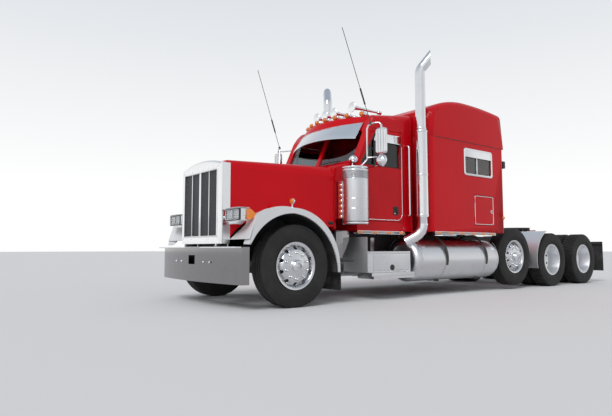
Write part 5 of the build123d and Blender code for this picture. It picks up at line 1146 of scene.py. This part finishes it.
def build_brow():
    """The bowed red roof front over the windshield, and the bright visor below it."""
    # Places across the roof
    stations = [0.88, 0.868, 0.84, 0.76, 0.66, 0.55, 0.44, 0.33, 0.22, 0.11, 0.0]
    stations = [-y for y in stations] + stations[-2::-1]
    rows = []
    # Each row of the brow: how far ahead of the lamps, its height at the middle, its drop at the ends, its place there
    for ahead, height, drop, home in ((-0.3, 2.823, 0.016, 2.03), (-0.14, 2.812, 0.012, 2.12),
                                      (0.02, 2.806, 0.012, 2.176), (0.046, 2.798, 0.012, 2.19),
                                      (0.06, 2.782, 0.012, 2.2), (0.07, 2.755, 0.01, 2.205),
                                      (0.078, 2.675, 0.01, 2.215)):
        # The outermost points sink into the cab
        rows.append([(max(lamp_line(y) + ahead, home) if abs(y) < 0.87 else home - 0.012, y,
                      height - drop * (y / stations[-1]) ** 2) for y in stations])
    hand_over(ruled(rows, 0.006, 40.0), "roof_brow", "red_paint")
    half, visor_bow = 0.8, 0.185
    across = [half * (step - 10) / 10 for step in range(21)]
    rows = []
    # Each row of the visor: how far ahead of the lamps, its height at the middle and its drop at the ends
    for ahead, height, drop in ((0.07, 2.69, 0.012), (0.1, 2.676, 0.016), (0.25, 2.474, 0.05),
                                (0.258, 2.452, 0.05)):
        rows.append([(BROW_X + ahead - visor_bow * (y / half) ** 2, y, height - drop * (y / half) ** 2)
                     for y in across])
    hand_over(ruled(rows, 0.006, 30.0), "bowed_visor", "bright_steel", replaces=["visor"])


def build_roof_lamps():
    """Seven bullet lamps on the roof front: chrome bodies and amber domes."""
    bodies, lenses = [], []
    for y in (0.0, 0.23, -0.23, 0.45, -0.45, 0.684, -0.684):
        place = Vector((lamp_line(y), y, 2.85 - 0.006 * abs(y)))
        bodies.append(lathe([(0.004, 0), (0.004, 0.043), (-0.006, 0.045), (-0.05, 0.041), (-0.1, 0.028),
                             (-0.15, 0.01), (-0.158, 0)], place, "X", 28))
        bodies.append(block(place + Vector((-0.075, -0.02, -0.046)), place + Vector((-0.005, 0.02, -0.02)), 0.006))
        lenses.append(lathe([(0.002, 0), (0.002, 0.041), (0.016, 0.04), (0.034, 0.032), (0.046, 0.016),
                             (0.05, 0)], place, "X", 28))
    hand_over(bodies, "roof_lamp_bodies", "chrome")
    hand_over(lenses, "roof_lamp_domes", "amber_lens", replaces=["marker_lamps"])


def build_horn_bells():
    """Wide bells on the four roof horns."""
    # The bell's profile, then each horn's place across the roof
    shape = [(-0.085, 0), (-0.085, 0.024), (-0.045, 0.036), (-0.018, 0.062), (0, 0.082), (0.006, 0.084),
             (0.01, 0.08), (0.011, 0.068), (0.017, 0.045), (0.022, 0)]
    bells = [lathe(shape, (2.2, y, 3.01), "X", 36) for y in (0.447, -0.01, -0.24, -0.46)]
    hand_over(bells, "horn_bells", "bright_steel")


def build_stack_trim():
    """Clamps, bolts and the bent elbows of the exhaust stacks."""
    # The axis of the left stack, then the height and radius of each clamp
    x, y = 1.375, 1.15
    rings = []
    for z, radius in ((1.262, 0.101), (1.9, 0.1005), (2.592, 0.101), (2.64, 0.083)):
        rings.append(lathe([(-0.014, radius - 0.004), (-0.014, radius + 0.003), (-0.008, radius + 0.005),
                            (0.008, radius + 0.005), (0.014, radius + 0.003), (0.014, radius - 0.004),
                            (-0.014, radius - 0.004)], (x, y, z), "Z", 40))
        rings.append(block((x - 0.02, y - radius - 0.026, z - 0.011), (x + 0.02, y - radius + 0.002, z + 0.011),
                           0.003))
    rings += [stud((x + 0.075, y + 0.066, z), 0.008, 0.006, "X") for z in (1.3, 2.43)]
    rings.append(collar((x, y, 1.12), "Z", -0.012, 0.012, 0.078, 0.088, 40))
    both(rings, "stack_clamps", "chrome")
    bend = [(x, y, 1.13), (x + 0.004, y - 0.002, 1.07), (x + 0.022, y - 0.014, 1.015), (x + 0.058, y - 0.042, 0.965),
            (x + 0.11, y - 0.085, 0.92), (x + 0.17, y - 0.13, 0.88), (x + 0.225, y - 0.172, 0.845)]
    both(tube(bend, 0.084, False, 8), "stack_elbows", "chrome")


def build_tanks():
    """Dark straps, end beads and fuel caps of the two tanks."""
    low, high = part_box("fuel_tanks")
    radius = (high.z - low.z) / 2
    centre = Vector((0, high.y - radius, low.z + radius))
    linings, beads = [], []
    # Where each strap is along the tank
    for x in (0.865, -0.215):
        linings.append(collar(centre + X * x, "X", -0.028, 0.028, radius - 0.002, radius + 0.0075, 64))
        linings.append(block((x - 0.034, centre.y + 0.1, low.z - 0.01), (x + 0.034, centre.y + 0.16, low.z + 0.04),
                             0.004))
    both(linings, "tank_straps", "strap_lining")
    for x in (high.x - 0.112, low.x + 0.112):
        beads.append(lathe([(-0.004, radius - 0.003), (-0.003, radius + 0.0012), (0.003, radius + 0.0012),
                            (0.004, radius - 0.003), (-0.004, radius - 0.003)], centre + X * x, "X", 64))
    place = centre + Vector((high.x - 0.35, 0, radius - 0.004))
    cap = lathe([(0, 0), (0, 0.058), (0.018, 0.056), (0.02, 0.064), (0.048, 0.064), (0.054, 0.058), (0.056, 0)],
                place, "Z", 32)
    beads.append(turned(cap, math.radians(-28.0), "X", centre))
    both(beads, "tank_fittings", "chrome")


def build_boxes():
    """Lids, latches, fronts and grips of the step boxes, and the splash panels in front of them."""
    low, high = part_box("step_boxes")
    y = 1.15
    lid = slab((low.x + 0.025, 0.424), (2.452, 0.664), 0.01, "side", y + 0.003, 0.008, 0.002)
    rim = block((low.x + 0.01, y - 0.03, 0.676), (2.545, y + 0.01, 0.704), 0.004)
    both([lid, rim], "box_lids", "sheet_alloy")
    dish = lathe([(0, 0), (0, 0.044), (0.006, 0.043), (0.008, 0.034), (0.003, 0.03), (0.003, 0)],
                 (2.073, y + 0.006, 0.47), "Y", 28)
    handle = block((2.045, y + 0.008, 0.463), (2.101, y + 0.02, 0.477), 0.004)
    both([dish, handle], "box_latches", "black_plastic")
    grips = []
    # Three rows of raised grips, the middle one set back by half a step
    for row, first_x in enumerate((0.04, 0.069, 0.04)):
        y_grip = 1.158 + 0.021 * row
        for count in range(14):
            x = low.x + first_x + 0.058 * count
            grips.append(block((x, y_grip, 0.399), (x + 0.03, y_grip + 0.008, 0.4045), 0.002, 1))
    both(grips, "step_grips", "sheet_alloy")
    face = slab((0.64, 0.404), (y - 0.006, high.z - 0.006), 0.012, "front", 2.568, 0.004, 0.001)
    both(face, "box_fronts", "soft_alloy")
    edge = block((low.x + 0.002, 1.222, 0.352), (high.x - 0.004, 1.231, 0.398), 0.003)
    both(edge, "step_edges", "white_trim")
    panel = plate([[(2.7, 1.0), (2.945, 1.0), (2.945, 0.54), (2.88, 0.52), (2.7, 0.86)]], "side", 0.9,
                  0.006, 0.001)
    arm = block((2.74, 0.4, 0.8), (2.79, 0.899, 0.84), 0.004)
    bar = tube([(2.64, 0.93, 0.575), (2.95, 0.93, 0.575)], 0.014)
    both(panel, "splash_panels", "dark_chrome")
    both([arm, bar], "splash_arms", "black_paint")


def build_aerials():
    """The two whip aerials on the mirror brackets."""
    root, tip = Vector((2.5, 1.165, 2.56)), Vector((3.0, 1.12, 3.88))
    rod = tube([root, root.lerp(tip, 0.22), root.lerp(tip, 0.6), tip], 0.0045, False, 2)
    coil = tube([root.lerp(tip, 0.2), root.lerp(tip, 0.23), root.lerp(tip, 0.34), root.lerp(tip, 0.37)], 0.012)
    foot = lathe([(-0.02, 0), (-0.02, 0.022), (0.004, 0.02), (0.022, 0.01), (0.03, 0)], root, "Z", 16)
    pair([rod, coil, foot], "aerial", "black_plastic", "door")


def build_rear():
    """Tail lamps, blank plate, flap weights and the fifth wheel's handle and bolts."""
    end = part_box("frame_rails")[0].x
    flap_low, flap_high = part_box("mud_flaps")
    panel = slab((-0.4, 0.72), (0.4, 0.85), 0.015, "front", end - 0.004, 0.008, 0.0015)
    hand_over(panel, "tail_panel", "black_paint")
    lenses, rims = [], []
    for y in (0.345, 0.235):
        lenses.append(lathe([(0, 0), (0, 0.046), (-0.01, 0.044), (-0.016, 0.03), (-0.018, 0)],
                            (end - 0.01, y, 0.785), "X", 28))
        rims.append(lathe([(0, 0), (0, 0.052), (-0.008, 0.051), (-0.01, 0.046), (0, 0.044), (0, 0)],
                          (end - 0.007, y, 0.785), "X", 28))
    both(lenses, "tail_lamps", "red_lens")
    both(rims, "tail_lamp_rims", "chrome")
    blank = slab((-0.15, 0.735), (0.15, 0.835), 0.008, "front", end - 0.011, 0.004, 0.001)
    hand_over(blank, "blank_plate", "white_paint")
    weights = [slab((0.64, z), (1.19, z + 0.04), 0.008, "front", flap_low.x - 0.002, 0.006, 0.001)
               for z in (flap_high.z - 0.2, 0.262)]
    both(weights, "flap_weights", "chrome")
    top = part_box("fifth_wheel_plate")[1].z
    bolts = [stud((x, y, top - 0.001), 0.014, 0.004, "Z")
             for x in (-3.165, -3.085, -3.005) for y in (0.33, -0.33, 0.395, -0.395)]
    hand_over(bolts, "fifth_wheel_bolts", "cast_iron", "fifth_wheel")
    handle = tube([(-3.13, 0.3, 1.135), (-3.13, 0.5, 1.135), (-3.125, 0.52, 1.135), (-3.09, 0.525, 1.135),
                   (-3.06, 0.52, 1.135)], 0.01)
    hand_over(handle, "release_handle", "red_paint", "fifth_wheel")


def cushion(low, high, lean=0.0, swell=0.014, frames=12):
    """A stuffed block: rounded, remeshed, blown up as cloth by the swell at most, and smoothed."""
    piece = block(low, high, 0.03, 3)
    if lean:
        turned(piece, lean, "Y", tuple(Vector(low).lerp(Vector(high), 0.5)))
    modify(piece, "REMESH", mode="VOXEL", voxel_size=0.014)
    before = [vertex.co.copy() for vertex in piece.data.vertices]
    pick(piece)
    cloth = piece.modifiers.new("cloth", "CLOTH")
    cloth.settings.use_pressure = True
    cloth.settings.uniform_pressure_force = 4.0
    cloth.settings.effector_weights.gravity = 0.0
    scene = bpy.context.scene
    for frame_number in range(1, frames + 1):
        scene.frame_set(frame_number)
    bpy.ops.object.modifier_apply(modifier="cloth")
    scene.frame_set(1)
    for vertex, home in zip(piece.data.vertices, before):
        move = vertex.co - home
        if move.length > swell:
            vertex.co = home + move.normalized() * swell
    modify(piece, "SUBSURF", levels=1, render_levels=1)
    bpy.ops.object.shade_smooth()
    return piece


def build_seats():
    """Padded cushions, backs and head pads on plain pedestals, in place of the plain seats."""
    low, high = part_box("seats")
    middle = high.y - 0.25
    front, back, floor = high.x, low.x, low.z
    half = 0.235
    for side_name, side in SIDES:
        y = side * middle
        base = cushion((back + 0.11, y - half, floor + 0.35), (front - 0.015, y + half, floor + 0.455))
        rest = cushion((back + 0.02, y - half, floor + 0.44), (back + 0.105, y + half, floor + 1.01), -0.05)
        head = cushion((back + 0.012, y - 0.13, floor + 1.04), (back + 0.085, y + 0.13, floor + 1.185))
        for piece, name in ((base, "seat_cushion"), (rest, "seat_back"), (head, "head_pad")):
            hand_over(piece, f"{name}_{side_name}", "seat_cloth")
    # Blocks of a stand: back and front, half width, bottom and top, bevel
    stands = [block((back + start, side * middle - half, floor + bottom),
                    (end, side * middle + half, floor + top), bevel)
              for side in (1, -1) for start, end, half, bottom, top, bevel in (
                  (0.05, front - 0.09, 0.2, 0.001, 0.06, 0.012), (0.11, front - 0.15, 0.13, 0.055, 0.3, 0.02),
                  (0.08, front - 0.04, 0.215, 0.29, 0.345, 0.012), (0.004, back + 0.03, 0.2, 0.32, 0.98, 0.008),
                  (0.02, back + 0.035, 0.015, 0.96, 1.08, 0.004))]
    hand_over(stands, "seat_stands", "black_plastic", replaces=["seats"])


def build_dash():
    """Gauges on the dashboard."""
    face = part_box("dashboard")[1].x - 0.262
    rings, dials = [], []
    # Each gauge: its place across the dashboard, its height and its radius
    for y, z, radius in ((0.4, 1.8, 0.042), (0.5, 1.8, 0.042), (0.58, 1.79, 0.028), (0.32, 1.79, 0.028),
                         (0.24, 1.79, 0.028)):
        rings.append(lathe([(0.012, radius), (-0.01, radius + 0.005), (-0.014, radius + 0.003), (-0.012, radius),
                            (0.012, radius)], (face, y, z), "X", 28))
        dials.append(lathe([(0.01, 0), (0.01, radius), (-0.006, radius), (-0.006, 0)], (face, y, z), "X", 28))
    hand_over(rings, "gauge_rings", "chrome")
    hand_over(dials, "gauge_dials", "black_plastic")


def build_stage():
    """Adds the camera, the floor, the broad key light and the light from all round."""
    scene = bpy.context.scene
    stage = scene.tractor_stage
    deselect()
    bpy.ops.object.camera_add(location=stage.camera_place,
                              rotation=(math.pi / 2 + stage.camera_pitch, 0.0, stage.camera_heading))
    camera = bpy.context.object
    camera.name = "photo_camera"
    camera.data.lens = stage.lens
    camera.data.sensor_width = 36.0
    camera.data.clip_end = 400.0
    scene.camera = camera

    bpy.ops.mesh.primitive_plane_add(size=240.0)
    floor = bpy.context.object
    floor.name = "floor"
    shade = Shade("pale_floor", Specular_IOR_Level=0.1)
    colour = list(stage.floor_colour)
    tone = shade.mix(0.25 * shade.noise(0.4, 3.0), colour, toned(colour, 0.94))
    floor.data.materials.append(shade.wire(Base_Color=tone, Roughness=0.85 + 0.1 * shade.noise(4.0)))

    bpy.ops.object.light_add(type="SUN", rotation=(math.radians(48.0), 0.0, math.radians(118.0)))
    key = bpy.context.object
    key.name = "key_light"
    key.data.energy = stage.sun_strength
    key.data.angle = math.radians(28.0)

    scene.world = bpy.data.worlds.new("pale_surround")
    scene.world.use_nodes = True
    air = Surround(scene.world)
    direction = air.add("ShaderNodeTexCoord", output="Generated")
    height = air.add("ShaderNodeSeparateXYZ", inputs={0: direction}, output="Z")
    sky = air.add("ShaderNodeValToRGB", inputs={0: height},
                  stops=((0.12, (1.0, 1.0, 1.0)), (0.85, (0.42, 0.48, 0.56))))
    # A greyer stretch of the surround on one side, which gives metal something to show
    toward = air.add("ShaderNodeVectorMath", {"operation": "DOT_PRODUCT"}, {0: direction, 1: (-0.17, 0.98, 0.0)},
                     "Value")
    shown = air.mix(air.step(toward, 0.72, 0.95), sky, (0.74, 0.75, 0.77))
    backdrop = air.add("ShaderNodeBackground", inputs={"Color": shown})
    light = air.add("ShaderNodeBackground", inputs={"Color": (0.93, 0.96, 1.0), "Strength": stage.sky_strength})
    # The backdrop is for rays that see it, the plain light for all others
    seen, glossy, through = [air.add("ShaderNodeLightPath", output=f"Is {kind} Ray")
                             for kind in ("Camera", "Glossy", "Transmission")]
    choice = air.maths("MAXIMUM", air.maths("MAXIMUM", seen, glossy), through)
    either = air.add("ShaderNodeMixShader", inputs={0: choice, 1: light, 2: backdrop})
    air.feed(air.tree.nodes.new("ShaderNodeOutputWorld").inputs["Surface"], either)
    scene.view_settings.view_transform = "Standard"


def operator(build):
    """An operator class that runs one building function and carries its name and text."""
    name = build.__name__.removeprefix("build_")

    def execute(self, context):
        build()
        return {"FINISHED"}

    return type(f"TRACTOR_OT_{name}", (bpy.types.Operator,),
                {"bl_idname": f"tractor.{name}", "bl_label": name.replace("_", " ").capitalize(),
                 "__doc__": build.__doc__, "execute": execute})


OPERATORS = [operator(build) for build in (
    build_stage, build_skins, build_tyres, build_hubs, build_grille, build_headlamps, build_aprons, build_hood_trim,
    build_cowl, build_air_cleaners, build_door_trim, build_mirror_trim, build_sleeper_trim, build_sill_lamps,
    build_brow, build_roof_lamps, build_horn_bells, build_stack_trim, build_tanks, build_boxes, build_aerials,
    build_rear, build_seats, build_dash)]


class TRACTOR_PT_looks(bpy.types.Panel):
    """The tractor's pieces in the order in which they are built"""
    bl_idname = "TRACTOR_PT_looks"
    bl_label = "Tractor"
    bl_space_type = "VIEW_3D"
    bl_region_type = "UI"
    bl_category = "Tractor"

    def draw(self, context):
        for name in GROUPS:
            group = getattr(context.scene, name)
            for key in group.bl_rna.properties.keys():
                if key not in ("rna_type", "name"):
                    self.layout.prop(group, key)
        for maker in OPERATORS:
            self.layout.operator(maker.bl_idname)


GROUPS = {"tractor_stage": StageSettings, "tractor_finish": FinishSettings, "tractor_fittings": FittingSettings}
CLASSES = (*GROUPS.values(), *OPERATORS, TRACTOR_PT_looks)


def register():
    for item in CLASSES:
        bpy.utils.register_class(item)
    for name, group in GROUPS.items():
        setattr(bpy.types.Scene, name, PointerProperty(type=group))


def unregister():
    for name in GROUPS:
        delattr(bpy.types.Scene, name)
    for item in reversed(CLASSES):
        bpy.utils.unregister_class(item)


def main():
    register()
    for maker in OPERATORS:
        group, name = maker.bl_idname.split(".")
        getattr(getattr(bpy.ops, group), name)()


if __name__ == "__main__":
    main()
